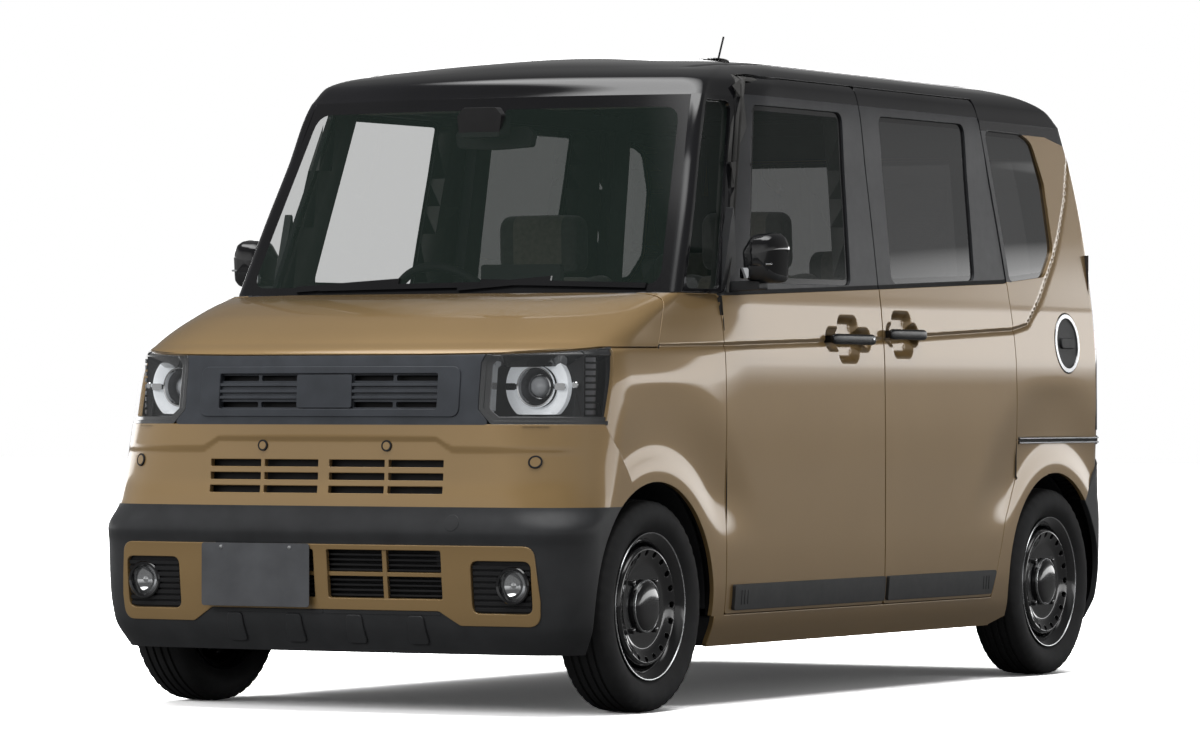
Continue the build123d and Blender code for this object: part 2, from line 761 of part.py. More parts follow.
def wheel():
    """Pressed steel wheel: rim, disc with a ring of round holes, and a plain cap."""
    out = rim_width / 2
    flange = rim_flange_radius
    seat = rim_seat_radius
    shell = turned(
        [
            (-out, flange), (-out + 7, flange), (-out + 9, seat), (-out + 40, 162), (out - 60, 162),
            (out - 42, seat), (out - 9, seat), (out - 7, flange), (out, flange), (out - 10, seat - 10),
            (out - 14, 158), (out - 6, 150), (out - 18, 116), (out - 18, 30), (out - 26, 30),
            (out - 26, 124), (out - 16, 150), (-out + 40, 152), (-out, seat - 2),
        ]
    )
    hole = tube_x(vent_radius, out - 40, out + 20, 0, vent_circle)
    for k in range(vent_count):
        shell -= Rot(k * 360 / vent_count, 0, 0) * hole
    cap = turned([(out - 20, 0), (out + 2, 0), (out + 2, 36), (out - 4, 66), (out - 8, 106), (out - 20, cap_radius)])
    return shell + cap


tyre_sides = 64  # flats round a tyre


def tyre():
    """A ring of flats, so that the tread sits flat on the ground."""
    half = tyre_width / 2
    seat = rim_seat_radius + seat_gap
    bead = rim_width / 2 - 9 - seat_gap
    profile = [(bead, 196), (half - 1, 222), (half - 2, 252), (half - 13, 270), (half - 32, tyre_radius)]
    profile = [(-x, r) for x, r in profile] + profile[::-1]
    upright = 180 / tyre_sides
    rings = []
    for x, r in profile:
        face = RegularPolygon(r / math.cos(math.radians(upright)), tyre_sides, rotation=upright)
        rings.append(Plane(origin=(x, 0, 0), x_dir=(0, 1, 0), z_dir=(1, 0, 0)) * face)
    body = loft(rings, ruled=True)
    return body - tube_x(seat, -half - 5, half + 5, 0, 0)


def place_wheel(shape, side, axle_y):
    placed = Pos(wheel_centre_x, axle_y, tyre_radius) * shape
    return placed if side > 0 else across(placed)


# Front suspension. The steering axis leans in at the top.
ball_joint = (600.0, 170.0)  # x, z
strut_top = (505.0, 790.0)
strut_radius = 20.0
strut_clearance = 6.0
well_radius = arch_radius + 4
well_wall = 6.0
front_well_x = 395.0
rear_well_x = 540.0
rear_well_mouth = 664.0
rail_x = (326.0, 386.0)
floor_z = (215.0, 258.0)
floor_half = 620.0 - seat_gap


def steer_point(z):
    """The left steering axis at a height."""
    share = (z - ball_joint[1]) / (strut_top[1] - ball_joint[1])
    return (ball_joint[0] + share * (strut_top[0] - ball_joint[0]), front_axle_y, z)


hub_face_x = wheel_centre_x + disc_face - seat_gap


def knuckle():
    """Left knuckle: carrier, brake drum, spindle, steering arm and strut."""
    y = front_axle_y
    shape = tube_x(52, 560, 612, y, tyre_radius) + tube_x(98, 612, 650, y, tyre_radius)
    shape += tube_x(spindle_radius, 645, hub_face_x - 6, y, tyre_radius)
    shape += tube_x(hub_radius, hub_face_x - 8, hub_face_x, y, tyre_radius)
    shape += rod(steer_point(tyre_radius), steer_point(760), strut_radius)
    shape += box(565, 600, y, y + 118, 236, 258)
    shape += rod(steer_point(176), steer_point(tyre_radius), 18)
    return shape


def front_arms():
    y = front_axle_y
    left = box(-1, 300, y - 50, y + 50, 196, 246)
    left += box(280, 330, y - 40, y + 40, 152, 246)
    left += box(325, 585, y - 28, y + 28, 152, 168)
    left += rod(steer_point(153), steer_point(176 - seat_gap), 20)
    left += box(rail_x[0], rail_x[1], y - 40, y + 40, 152, 380 - seat_gap)
    return largest(joined(left))


def rear_axle():
    """Twist beam: cross tube, trailing arms, stub axles and drums."""
    y = rear_axle_y
    left = tube_x(42, -1, 515, y - 190, 262)
    left += box(490, 528, 970 + seat_gap, y + 60, 238, 298)
    left += tube_x(spindle_radius, 500, hub_face_x - 6, y, tyre_radius)
    left += tube_x(hub_radius, hub_face_x - 8, hub_face_x, y, tyre_radius)
    left += tube_x(110, 560, 650, y, tyre_radius)
    return largest(joined(left))


def wheel_well(axle_y, inner_x, outer_x):
    """A round shell over a wheel, closed at its inner end."""
    outer = tube_x(well_radius + well_wall, inner_x - well_wall, outer_x, axle_y, tyre_radius)
    outer -= tube_x(well_radius, inner_x, 720, axle_y, tyre_radius)
    outer &= box(300, 900, axle_y - 400, axle_y + 400, 262, 900)
    return outer


def underbody():
    """Floor, firewall, scuttle, wheel wells, strut towers and chassis rails."""
    y = front_axle_y
    left = box(-1, floor_half, -905, 952, *floor_z)
    left += box(-1, 540, 930, 970, floor_z[0], 430)
    left += box(-1, 536, 960, 1610, 400, 430)
    left += box(-1, 660, -905, -870, floor_z[0], 1080)
    scuttle = half_stack(lower_rows[bonnet_row:], 0, False) & box(-1, 640, -1087, -870, 1064, belt_z)
    left += scuttle
    left += box(*rail_x, -1560, -900, 380, 470)
    left += box(440, 500, 965, 1620, 340, 402)
    left += box(rail_x[0] + 5, rail_x[1], -1700, -1550, 390, 460)
    left += box(445, 495, 1600, 1720, 345, 400)
    left += wheel_well(y, front_well_x, 704)
    left += wheel_well(rear_axle_y, rear_well_x, rear_well_mouth)
    bore = rod(steer_point(540), steer_point(764), strut_radius + strut_clearance)
    tower = rod(steer_point(590), steer_point(800), strut_radius + strut_clearance + 28)
    inside = tube_x(well_radius, front_well_x, 720, y, tyre_radius)
    left += tower
    left -= inside + bore
    left -= box(500, 560, rear_axle_y - 40, rear_axle_y + 40, 200, 320)
    left &= half_stack(lower_rows, panel_wall + seat_gap, False)
    x = hinge_arms["bonnet"][0][0]
    left += box(x - 12, x + 12, -1142, -1060, 1018, 1056) + box(x - 12, x + 12, -1084, -1060, 1018, 1080)
    left -= hinge_slot("bonnet")
    return largest(joined(left))


def engine_block():
    block = box(-300, 300, -1480, -960, 300, 760)
    block += box(298, rail_x[0] - seat_gap, -1300, -1180, 400, 460)
    block += box(-rail_x[0] + seat_gap, -298, -1300, -1180, 400, 460)
    return block


def radiator():
    return box(-rail_x[0] + seat_gap, rail_x[0] - seat_gap, -1560, -1520, 300, 720)


def fuel_tank():
    tank = box(-110, 440 - seat_gap, 1190, 1520, 232, 400 - seat_gap)
    return fillet(tank.edges().filter_by(Axis.X), 30)


def exhaust():
    x = -150
    pipe = tube_y(20, -930, 1550, x, 193)
    pipe += box(x - 22, x + 22, -950, -908, 171, 342)
    pipe += tube_y(20, -960 + seat_gap, -930, x, 320)
    pipe += box(-330, -60, 1540, 1635, 180, 300)
    pipe += box(x - 15, x + 15, 1560, 1590, 290, 400 - seat_gap)
    pipe += box(x - 12, x + 12, 0, 30, 193, floor_z[0] - seat_gap)
    return pipe


def dashboard():
    points = [(-870 + seat_gap, 700), (-870 + seat_gap, 1078), (-800, 1092), (-640, 1060), (-560, 985), (-560, 870), (-620, 700)]
    dash = side_prism(points, -606, 606)
    screen = box(-80, 170, -712, -690, 1040, 1188)
    dash += fillet(screen.edges().filter_by(Axis.Y), 8)
    hood = box(-470, -210, -720, -610, 1040, 1096)
    dash += fillet(hood.edges().filter_by(Axis.Y), 20)
    hub = (wheel_hub[0], wheel_hub[1] - 130 * column[1], wheel_hub[2] - 130 * column[2])
    end = (wheel_hub[0], wheel_hub[1] - (14 + seat_gap) * column[1], wheel_hub[2] - (14 + seat_gap) * column[2])
    return dash + rod(hub, end, 26)


wheel_hub = (-340.0, -441.0, 1038.0)
column = (0.0, math.cos(math.radians(28)), math.sin(math.radians(28)))
steering_radius = 180.0


def steering_wheel():
    at = Plane(origin=wheel_hub, x_dir=(1, 0, 0), z_dir=column)
    section = RegularPolygon(14, 8)
    ring = revolve(Plane.XZ * Pos(steering_radius - 14, 0) * section, Axis.Z)
    hub = Cylinder(58, 28)
    spokes = Box(2 * (steering_radius - 14), 34, 12)
    spokes += Pos(0, -(steering_radius - 14) / 2, 0) * Box(34, steering_radius - 14, 12)
    return at * (ring + hub + spokes)


def front_seat():
    """Left front seat with its base and headrest."""
    side = [(-400, 440), (-412, 590), (-370, 650), (-30, 640), (50, 1160), (150, 1160), (156, 1090), (96, 640), (70, 440)]
    seat = side_prism(side, 95, 565)
    seat = fillet(seat.edges().filter_by(GeomType.LINE).filter_by(Axis.X), 18)
    seat += box(150, 510, -330, 40, floor_z[1] + seat_gap, 450)
    rest = fillet(box(200, 460, 52, 132, 1186, 1350).edges(), 22)
    for x in (270, 390):
        rest += Pos(x, 92, 1170) * Cylinder(8, 60)
    return seat + rest


def rear_seat():
    side = [(470, 440), (460, 590), (500, 640), (800, 630), (868, 1100), (948, 1100), (955, 1050), (925, 600), (925, 440)]
    seat = side_prism(side, -520, 520)
    seat = fillet(seat.edges().filter_by(GeomType.LINE).filter_by(Axis.X), 18)
    return seat + box(-480, 480, 540, 880, floor_z[1] + seat_gap, 450)


wiper_height = 9.0  # off the glass
blade_half = 7.0
# x and z of each end, for the blade and then its arm
wiper_bars = [
    ((-385, 1119), (125, 1125), (-470, 1117), (-130, 1136)),
    ((125, 1133), (600, 1120), (60, 1117), (330, 1139)),
]


def bar_outline(start, end, half):
    """A slender rectangle between two points, as (x, z)."""
    reach = math.hypot(end[0] - start[0], end[1] - start[1])
    across_x = -(end[1] - start[1]) / reach * half
    across_z = (end[0] - start[0]) / reach * half
    return [
        (start[0] - across_x, start[1] - across_z),
        (end[0] - across_x, end[1] - across_z),
        (end[0] + across_x, end[1] + across_z),
        (start[0] + across_x, start[1] + across_z),
    ]


def wipers():
    """Two wipers that lie on the foot of the windscreen and follow its bow."""
    layer = joined(strip("front", -wiper_height, -seat_gap, True))
    made = []
    for blade_start, blade_end, arm_start, arm_end in wiper_bars:
        prism = front_prism(bar_outline(blade_start, blade_end, blade_half), -1300, -800)
        prism += front_prism(bar_outline(arm_start, arm_end, blade_half + 1), -1300, -800)
        made.append(largest(layer & prism))
    return Compound(made)


antenna_y = 537.0
antenna_tip = (0.0, 579.0, 1884.0)


def antenna():
    """Short aerial on a round foot at the rear of the roof."""
    foot = Pos(0, antenna_y, roof_height + seat_gap) * Cone(20, 9, 16, align=(Align.CENTER, Align.CENTER, Align.MIN))
    return foot + rod((0, antenna_y, roof_height + 10), antenna_tip, 3)


def write_parts(parts):
    os.makedirs("parts", exist_ok=True)
    for name, shape in parts.items():
        export_step(shape, f"parts/{name}.step")


def main():
    parts = {
        "underbody": underbody(),
        "roof_panel": roof_panel(),
        "windscreen": windscreen(),
        "bonnet": bonnet(),
        "front_bumper": front_bumper(),
        "front_cladding": front_cladding(),
        "bumper_insert": bumper_insert(),
        "grille": grille(),
        "fog_lamps": fog_lamps(),
        "rear_bumper": rear_bumper(),
        "tail_lamps": tail_lamps(),
        "tailgate": tailgate(),
        "tailgate_glass": tailgate_glass(),
        "fuel_lid": fuel_lid(),
        "front_arms": front_arms(),
        "rear_axle": rear_axle(),
        "engine_block": engine_block(),
        "radiator": radiator(),
        "fuel_tank": fuel_tank(),
        "exhaust": exhaust(),
        "dashboard": dashboard(),
        "steering_wheel": steering_wheel(),
        "rear_seat": rear_seat(),
        "wipers": wipers(),
        "antenna": antenna(),
    }
    glass = pane(slide_window) + pane(quarter_window) + pane(corner_window, "front")
    parts["side_glass"] = both(glass)
    sided = {
        "body_side": body_side(),
        "fender": fender(),
        "headlamp": headlamp(),
        "front_door": front_door(),
        "door_glass": pane(front_window),
        "door_mirror": door_mirror(),
        "door_handle": handle("front"),
        "sliding_door": sliding_door(),
        "sliding_handle": handle("slide"),
        "knuckle": knuckle(),
        "front_seat": front_seat(),
    }
    for name, shape in sided.items():
        parts[name + "_left"] = shape
        parts[name + "_right"] = across(shape)
    rubber, steel = tyre(), wheel()
    for end, axle_y in (("front", front_axle_y), ("rear", rear_axle_y)):
        for side, sign in (("left", 1), ("right", -1)):
            parts[f"tyre_{end}_{side}"] = place_wheel(rubber, sign, axle_y)
            parts[f"wheel_{end}_{side}"] = place_wheel(steel, sign, axle_y)
    write_parts(parts)


if __name__ == "__main__":
    main()
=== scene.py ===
import bpy
import bmesh
import math
import numpy as np
from mathutils import Matrix, Vector
from mathutils.bvhtree import BVHTree


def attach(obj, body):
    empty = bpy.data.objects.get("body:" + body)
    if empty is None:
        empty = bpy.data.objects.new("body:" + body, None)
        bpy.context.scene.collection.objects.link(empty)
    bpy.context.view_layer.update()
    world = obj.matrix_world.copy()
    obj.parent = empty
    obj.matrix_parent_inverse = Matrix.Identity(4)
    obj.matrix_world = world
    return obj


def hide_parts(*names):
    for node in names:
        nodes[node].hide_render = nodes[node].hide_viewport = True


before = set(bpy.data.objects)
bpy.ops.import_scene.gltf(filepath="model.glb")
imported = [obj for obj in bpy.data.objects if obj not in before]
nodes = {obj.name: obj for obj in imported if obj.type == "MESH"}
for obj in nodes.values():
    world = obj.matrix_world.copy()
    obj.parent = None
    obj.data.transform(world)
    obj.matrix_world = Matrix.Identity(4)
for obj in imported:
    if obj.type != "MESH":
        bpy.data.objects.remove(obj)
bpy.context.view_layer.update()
mm = 0.001
print("frame loaded:", len(nodes), "nodes")

# The body's plan outlines in millimetres, as in the CAD. front is the nose at the
# middle, bow is how far the front falls back at its corner, nose is the half width
# behind that corner, half is the half width from knee back.
rowNames = ("z", "front", "bow", "corner", "nose", "half", "knee", "rear", "rearCorner")
lowerRows = [
    (160, -1630, 24, 125, 694, 704, -817, 1652, 70),
    (235, -1664, 22, 128, 724, 728, -817, 1684, 75),
    (330, -1678, 22, 136, 734, 736, -817, 1694, 80),
    (440, -1690, 22, 150, 737, 737.5, -817, 1697.5, 84),
    (475, -1697.5, 22, 155, 737.5, 737.5, -817, 1697.5, 85),
    (540, -1681, 22, 205, 736.5, 737.5, -817, 1690, 88),
    (700, -1672, 24, 262, 737, 737.5, -817, 1681, 82),
    (860, -1667, 36, 282, 732, 736, -817, 1679, 78),
    (932, -1656, 38, 278, 721, 734.5, -817, 1680, 76),
    (965, -1606, 40, 270, 712, 732.5, -817, 1681, 75),
    (1002, -1532, 44, 262, 706, 729.5, -817, 1682, 74),
    (1043, -1432, 50, 255, 699, 726, -817, 1683, 73),
    (1078, -1290, 54, 200, 694, 723, -817, 1683, 72),
    (1100, -1120, 50, 80, 690, 720.3, -817, 1683, 71),
]
upperRows = [
    (1100, -1082, 72, 26, 690, 720.3, -775, 1683, 71),
    (1300, -983, 72, 26, 666, 697, -702, 1668, 73),
    (1460, -904, 72, 26, 642, 677, -633, 1640, 76),
    (1640, -815, 72, 26, 618, 655, -555, 1576, 80),
    (1690, -784, 72, 60, 600, 640, -520, 1512, 90),
    (1725, -690, 96, 100, 550, 603, -440, 1420, 120),
    (1750, -560, 110, 140, 470, 515, -330, 1310, 150),
    (1775, -300, 110, 150, 290, 320, -120, 1090, 130),
    (1790, 120, 30, 60, 110, 120, 220, 720, 60),
]
roofRows = upperRows[3:] + [(1790, 300, 0.02, 0.01, 0.02, 0.02, 310, 590, 0.01)]
sideRows = lowerRows + upperRows[1:6]


def outline(row, stations):
    # x and y of one plan outline. Stations run 0 middle, 1 corner start, 2 nose,
    # 3 knee, 4 tail, 5 rear face, 6 rear middle.
    r = dict(zip(rowNames, row))
    flat = r["nose"] - r["corner"]
    bowRadius = (flat**2 + r["bow"]**2) / (2 * r["bow"])
    lean = math.asin(flat / bowRadius)
    start = np.array([flat, r["front"] + r["bow"]])
    end = np.array([r["nose"], r["front"] + r["bow"] + r["corner"]])
    tailY = r["rear"] - r["rearCorner"]
    s = np.asarray(stations, float)
    xy = np.zeros((len(s), 2))
    for k, v in enumerate(s):
        if v <= 1:
            turn = lean * v
            xy[k] = (bowRadius * math.sin(turn), r["front"] + bowRadius * (1 - math.cos(turn)))
        elif v <= 2:
            t = v - 1
            pull = 1.657 * r["corner"]
            d0 = np.array([math.cos(lean), math.sin(lean)]) * pull
            d1 = np.array([0, 1.0]) * pull
            xy[k] = ((2 * t**3 - 3 * t**2 + 1) * start + (t**3 - 2 * t**2 + t) * d0
                     + (3 * t**2 - 2 * t**3) * end + (t**3 - t**2) * d1)
        elif v <= 3:
            xy[k] = sideAt(r, end[1] + (r["knee"] - end[1]) * (v - 2))
        elif v <= 4:
            xy[k] = sideAt(r, r["knee"] + (tailY - r["knee"]) * (v - 3))
        elif v <= 5:
            turn = (v - 4) * math.pi / 2
            xy[k] = (r["half"] - r["rearCorner"] * (1 - math.cos(turn)),
                    tailY + r["rearCorner"] * math.sin(turn))
        else:
            xy[k] = ((r["half"] - r["rearCorner"]) * (6 - v), r["rear"])
    return xy


def sideAt(r, y):
    # the half width at y, which swells smoothly from the nose to past the knee
    noseY = r["front"] + r["bow"] + r["corner"]
    t = min(max((y - noseY) / (r["knee"] + 150 - noseY), 0), 1)
    return (r["nose"] + (r["half"] - r["nose"]) * t * t * (3 - 2 * t), y)


def throughRows(points, levels):
    # smooth curves through rows of points, at levels counted in rows
    step = np.linalg.norm(points[1:] - points[:-1], axis=2, keepdims=True)
    step = np.maximum(step, 1e-6)
    slope = (points[1:] - points[:-1]) / step
    m = np.zeros_like(points)
    m[0], m[-1] = slope[0], slope[-1]
    a, b = slope[:-1], slope[1:]
    w1, w2 = 2 * step[1:] + step[:-1], step[1:] + 2 * step[:-1]
    same = a * b > 0
    safeA, safeB = np.where(same, a, 1), np.where(same, b, 1)
    m[1:-1] = np.where(same, (w1 + w2) / (w1 / safeA + w2 / safeB), 0)
    out = []
    for level in levels:
        k = min(int(level), len(points) - 2)
        t = level - k
        h = step[k]
        out.append((2 * t**3 - 3 * t**2 + 1) * points[k] + (t**3 - 2 * t**2 + t) * h * m[k]
                   + (3 * t**2 - 2 * t**3) * points[k + 1] + (t**3 - t**2) * h * m[k + 1])
    return np.array(out)


def rowPoints(rows, stations):
    made = []
    for row in rows:
        xy = outline(row, stations)
        made.append(np.column_stack([xy, np.full(len(xy), float(row[0]))]))
    return np.array(made)


def wrapSheet(rows, stations, levels):
    # a surface whose columns follow the plan outline round the body
    return throughRows(rowPoints(rows, stations), levels)


def levelAt(rows, z):
    zs = [row[0] for row in rows]
    return float(np.interp(z, zs, range(len(zs))))


def halfWidths(ys, zs):
    # half width of the body side on a grid, from z rows of the same smooth curves
    grid = []
    for row in sideRows:
        r = dict(zip(rowNames, row))
        grid.append([[sideAt(r, y)[0], y, row[0]] for y in ys])
    levels = [levelAt(sideRows, z) for z in zs]
    return throughRows(np.array(grid), levels)


def spread(*stops):
    # values from stop to stop: each stop after the first is (value, how many steps)
    out = [stops[0]]
    for value, count in stops[1:]:
        out += list(np.linspace(out[-1], value, count + 1)[1:])
    return np.array(out)


def sheetNormals(p):
    du = np.gradient(p, axis=0)
    dv = np.gradient(p, axis=1)
    n = np.cross(dv, du)
    return n / np.maximum(np.linalg.norm(n, axis=2, keepdims=True), 1e-9)


def pushed(p, offset):
    return p + sheetNormals(p) * offset


def raised(p, depth):
    # the sheet moved along its normals by depth(x, y, z) in millimetres
    return pushed(p, depth(p[..., 0], p[..., 1], p[..., 2])[..., None])


views = {"side": (1, 2), "front": (0, 2), "above": (0, 1)}


def arcPoints(cy, cz, radius, start, end, count):
    turns = np.radians(np.linspace(start, end, count + 1))
    return [(cy + radius * math.cos(t), cz + radius * math.sin(t)) for t in turns]


def softened(points, radius, count=6):
    # the same outline with its corners rounded. radius is one value or one for each
    n = len(points)
    radii = radius if isinstance(radius, (list, tuple)) else [radius] * n
    out = []
    for k in range(n):
        p = np.array(points[k], float)
        a, b = np.array(points[k - 1], float) - p, np.array(points[(k + 1) % n], float) - p
        la, lb = np.linalg.norm(a), np.linalg.norm(b)
        if radii[k] <= 0 or la < 1e-6 or lb < 1e-6:
            out.append(tuple(p))
            continue
        cosine = float(np.dot(a, b) / (la * lb))
        half = math.acos(max(-1, min(1, cosine))) / 2
        cut = min(radii[k] / max(math.tan(half), 1e-3), 0.48 * la, 0.48 * lb)
        p0, p1 = p + a / la * cut, p + b / lb * cut
        for t in np.linspace(0, 1, count + 1):
            q = (1 - t)**2 * p0 + 2 * t * (1 - t) * p + t * t * p1
            out.append(tuple(q))
    return out


def inside(points, poly):
    # which 2D points lie in a closed outline
    x, y = points[:, 0], points[:, 1]
    hit = np.zeros(len(points), bool)
    px, py = poly[:, 0], poly[:, 1]
    j = len(poly) - 1
    for i in range(len(poly)):
        cross = (py[i] > y) != (py[j] > y)
        with np.errstate(divide="ignore", invalid="ignore"):
            at = (px[j] - px[i]) * (y - py[i]) / (py[j] - py[i]) + px[i]
        hit ^= cross & (x < at)
        j = i
    return hit


def sheetMesh(p):
    # a bmesh of the sheet's cells. Each vertex keeps the sheet's own normal
    n = sheetNormals(p)
    bm = bmesh.new()
    layer = bm.verts.layers.float_vector.new("n")
    verts = {}
    for at in np.ndindex(p.shape[:2]):
        verts[at] = bm.verts.new(p[at])
        verts[at][layer] = n[at]
    for i, j in np.ndindex(p.shape[0] - 1, p.shape[1] - 1):
        bm.faces.new((verts[i, j], verts[i, j + 1], verts[i + 1, j + 1], verts[i + 1, j]))
    return bm


def cut(bm, view, points, keepInside=True, drop=True):
    # cuts the mesh along an outline seen in one view, and drops one side of it
    a, b = views[view]
    poly = np.array(points, float)
    along = Vector((0, 0, 0))
    along[3 - a - b] = 1.0
    cell, stretch = 26.0, 60.0  # faces are sorted into square cells, and long edges cut in stretches
    bucket = {}

    def keep(f):
        co = f.calc_center_median()
        bucket.setdefault((int(co[a] // cell), int(co[b] // cell)), []).append(f)

    reach = 2.0
    for f in bm.faces:
        keep(f)
    for f in list(bm.faces)[::97]:  # a sample of the faces gives their reach
        c = f.calc_center_median()
        reach = max(reach, max(max(abs(v.co[a] - c[a]), abs(v.co[b] - c[b])) for v in f.verts))
    reach = reach * 1.5 + 1
    for k in range(len(poly)):
        p, q = poly[k - 1], poly[k]
        length = float(np.linalg.norm(q - p))
        if length < 1e-6:
            continue
        start, direction = Vector((0, 0, 0)), Vector((0, 0, 0))
        start[a], start[b] = p
        direction[a], direction[b] = (q - p) / length
        normal = direction.cross(along)
        count = max(1, int(length // stretch))
        for part in range(count):
            s, e = p + (q - p) * part / count, p + (q - p) * (part + 1) / count
            low, high = np.minimum(s, e), np.maximum(s, e)
            i0, i1 = int((low[0] - reach) // cell), int((high[0] + reach) // cell)
            j0, j1 = int((low[1] - reach) // cell), int((high[1] + reach) // cell)
            picked = []
            for key in [(i, j) for i in range(i0, i1 + 1) for j in range(j0, j1 + 1)]:
                if key not in bucket:
                    continue
                left = []
                for f in bucket[key]:
                    if not f.is_valid:
                        continue
                    cos = [v.co for v in f.verts]
                    sides = [(co - start).dot(normal) for co in cos]
                    if min(sides) > -0.02 or max(sides) < 0.02:
                        left.append(f)
                        continue
                    ca, cb = [co[a] for co in cos], [co[b] for co in cos]
                    if (max(ca) < low[0] - 0.01 or min(ca) > high[0] + 0.01
                            or max(cb) < low[1] - 0.01 or min(cb) > high[1] + 0.01):
                        left.append(f)
                    else:
                        picked.append(f)
                bucket[key] = left
            if not picked:
                continue
            geom = set(picked)
            for f in picked:
                geom.update(f.edges)
                geom.update(f.verts)
            done = bmesh.ops.bisect_plane(bm, geom=list(geom), dist=0.01, plane_co=start, plane_no=normal)
            for f in {g for g in done["geom"] if isinstance(g,
                    bmesh.types.BMFace)} | {f for f in picked if f.is_valid}:
                keep(f)
    if drop:
        dropPart(bm, view, poly, keepInside)


def dropPart(bm, view, poly, keepInside=True):
    a, b = views[view]
    faces = list(bm.faces)
    mids = np.array([f.calc_center_median()[:] for f in faces])[:, [a, b]]
    hit = inside(mids, np.array(poly, float))
    bmesh.ops.delete(bm, geom=[f for f, h in zip(faces, hit) if h != keepInside], context="FACES")


def cutAt(bm, axis, value, keepAbove=None, only=None):
    # cuts at one value of an axis, and can drop what lies above or below it
    normal = [0, 0, 0]
    normal[axis] = 1
    at = [0, 0, 0]
    at[axis] = value
    faces = [f for f in bm.faces if only is None or only(f.calc_center_median())]
    geom = set(faces)
    for f in faces:
        geom.update(f.edges)
        geom.update(f.verts)
    bmesh.ops.bisect_plane(bm, geom=list(geom), dist=0.01, plane_co=at, plane_no=normal)
    if keepAbove is not None:
        dropWhere(bm, lambda c: (c[axis] > value) != keepAbove and (only is None or only(c)))


def dropWhere(bm, test):
    bmesh.ops.delete(bm, geom=[f for f in bm.faces if test(f.calc_center_median())], context="FACES")


def addFlange(bm, depth, radius=1.2, skipMiddle=True):
    # rounds the free edges over and turns them in, as on folded sheet steel
    layer = bm.verts.layers.float_vector["n"]
    edges = [e for e in bm.edges if len(e.link_faces) == 1
             and not (skipMiddle and all(abs(v.co.x) < 0.05 for v in e.verts))]
    outward = {}
    for e in edges:
        mid = (e.verts[0].co + e.verts[1].co) / 2
        n = (Vector(e.verts[0][layer]) + Vector(e.verts[1][layer])).normalized()
        run = e.verts[1].co - e.verts[0].co
        if run.length < 1e-6:
            continue
        out = run.normalized().cross(n)
        if out.dot(e.link_faces[0].calc_center_median() - mid) > 0:
            out = -out
        for v in e.verts:
            outward.setdefault(v, []).append(out)
    rings = {}
    for v, outs in outward.items():
        n = Vector(v[layer]).normalized()
        total = sum(outs, Vector((0, 0, 0)))
        b = total - n * total.dot(n)
        if b.length < 1e-6:
            b = outs[0].copy()
        b.normalize()
        # at a corner the ring moves further out, so that both edges keep their radius
        stretch = min(1 / max(0.35, b.dot(outs[0])), 1.6) if len(outs) > 1 else 1.0
        rings[v] = [v]
        for across, down, normal in ((0.7, 0.3 * radius, n * 0.75 + b * 0.65), (1, radius, b), (1, depth, b)):
            w = bm.verts.new(v.co + b * (across * radius * stretch) - n * down)
            w[layer] = normal.normalized()
            rings[v].append(w)
    for e in edges:
        if e.verts[0] not in rings or e.verts[1] not in rings:
            continue
        face = e.link_faces[0]
        loop = [each for each in face.loops if each.edge == e][0]
        first, second = rings[loop.vert], rings[loop.link_loop_next.vert]
        for k in range(3):
            try:
                made = bm.faces.new((second[k], first[k], first[k + 1], second[k + 1]))
                made.material_index = face.material_index
            except ValueError:  # the face is there already
                pass


def toObject(bm, name, materials, mirror=None):
    # the mesh as an object in metres with the stored normals. mirror is None, "weld" or "flip"
    layer = bm.verts.layers.float_vector["n"]
    if mirror == "weld":
        for v in bm.verts:
            if abs(v.co.x) < 0.05:
                n = Vector(v[layer])
                n.x = 0
                v[layer] = n.normalized()
                v.co.x = 0
        made = bmesh.ops.duplicate(bm, geom=list(bm.verts) + list(bm.edges) + list(bm.faces))["geom"]
        flipVerts([g for g in made if isinstance(g, bmesh.types.BMVert)], layer)
        bmesh.ops.reverse_faces(bm, faces=[g for g in made if isinstance(g, bmesh.types.BMFace)])
        middle = [v for v in bm.verts if abs(v.co.x) < 0.001]
        bmesh.ops.remove_doubles(bm, verts=middle, dist=0.01)
    elif mirror == "flip":
        flipVerts(bm.verts, layer)
        bmesh.ops.reverse_faces(bm, faces=list(bm.faces))
    mesh = bpy.data.meshes.new(name)
    bm.verts.index_update()
    normals = [tuple(Vector(v[layer]).normalized()) for v in bm.verts]
    for v in bm.verts:
        v.co *= mm
    bm.to_mesh(mesh)
    bm.free()
    mesh.shade_smooth()
    mesh.normals_split_custom_set_from_vertices(normals)
    return linked(name, mesh, materials)


def flipVerts(verts, layer):
    for v in verts:
        v.co.x = -v.co.x
        n = Vector(v[layer])
        n.x = -n.x
        v[layer] = n


def linked(name, data, materials=()):
    obj = bpy.data.objects.new(name, data)
    bpy.context.scene.collection.objects.link(obj)
    for material in materials if isinstance(materials, (list, tuple)) else [materials]:
        data.materials.append(material)
    return obj


def place(obj, body, replaced=()):
    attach(obj, body)
    if replaced:
        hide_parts(*replaced)
    return obj


def zone(bm, test, index):
    for f in bm.faces:
        if test(f.calc_center_median()):
            f.material_index = index


def closedMesh(bm, name, smooth):
    # mesh data from a bmesh, smooth up to an angle in degrees
    mesh = bpy.data.meshes.new(name)
    bm.to_mesh(mesh)
    bm.free()
    mesh.shade_smooth()
    mesh.set_sharp_from_angle(angle=math.radians(smooth))
    return mesh


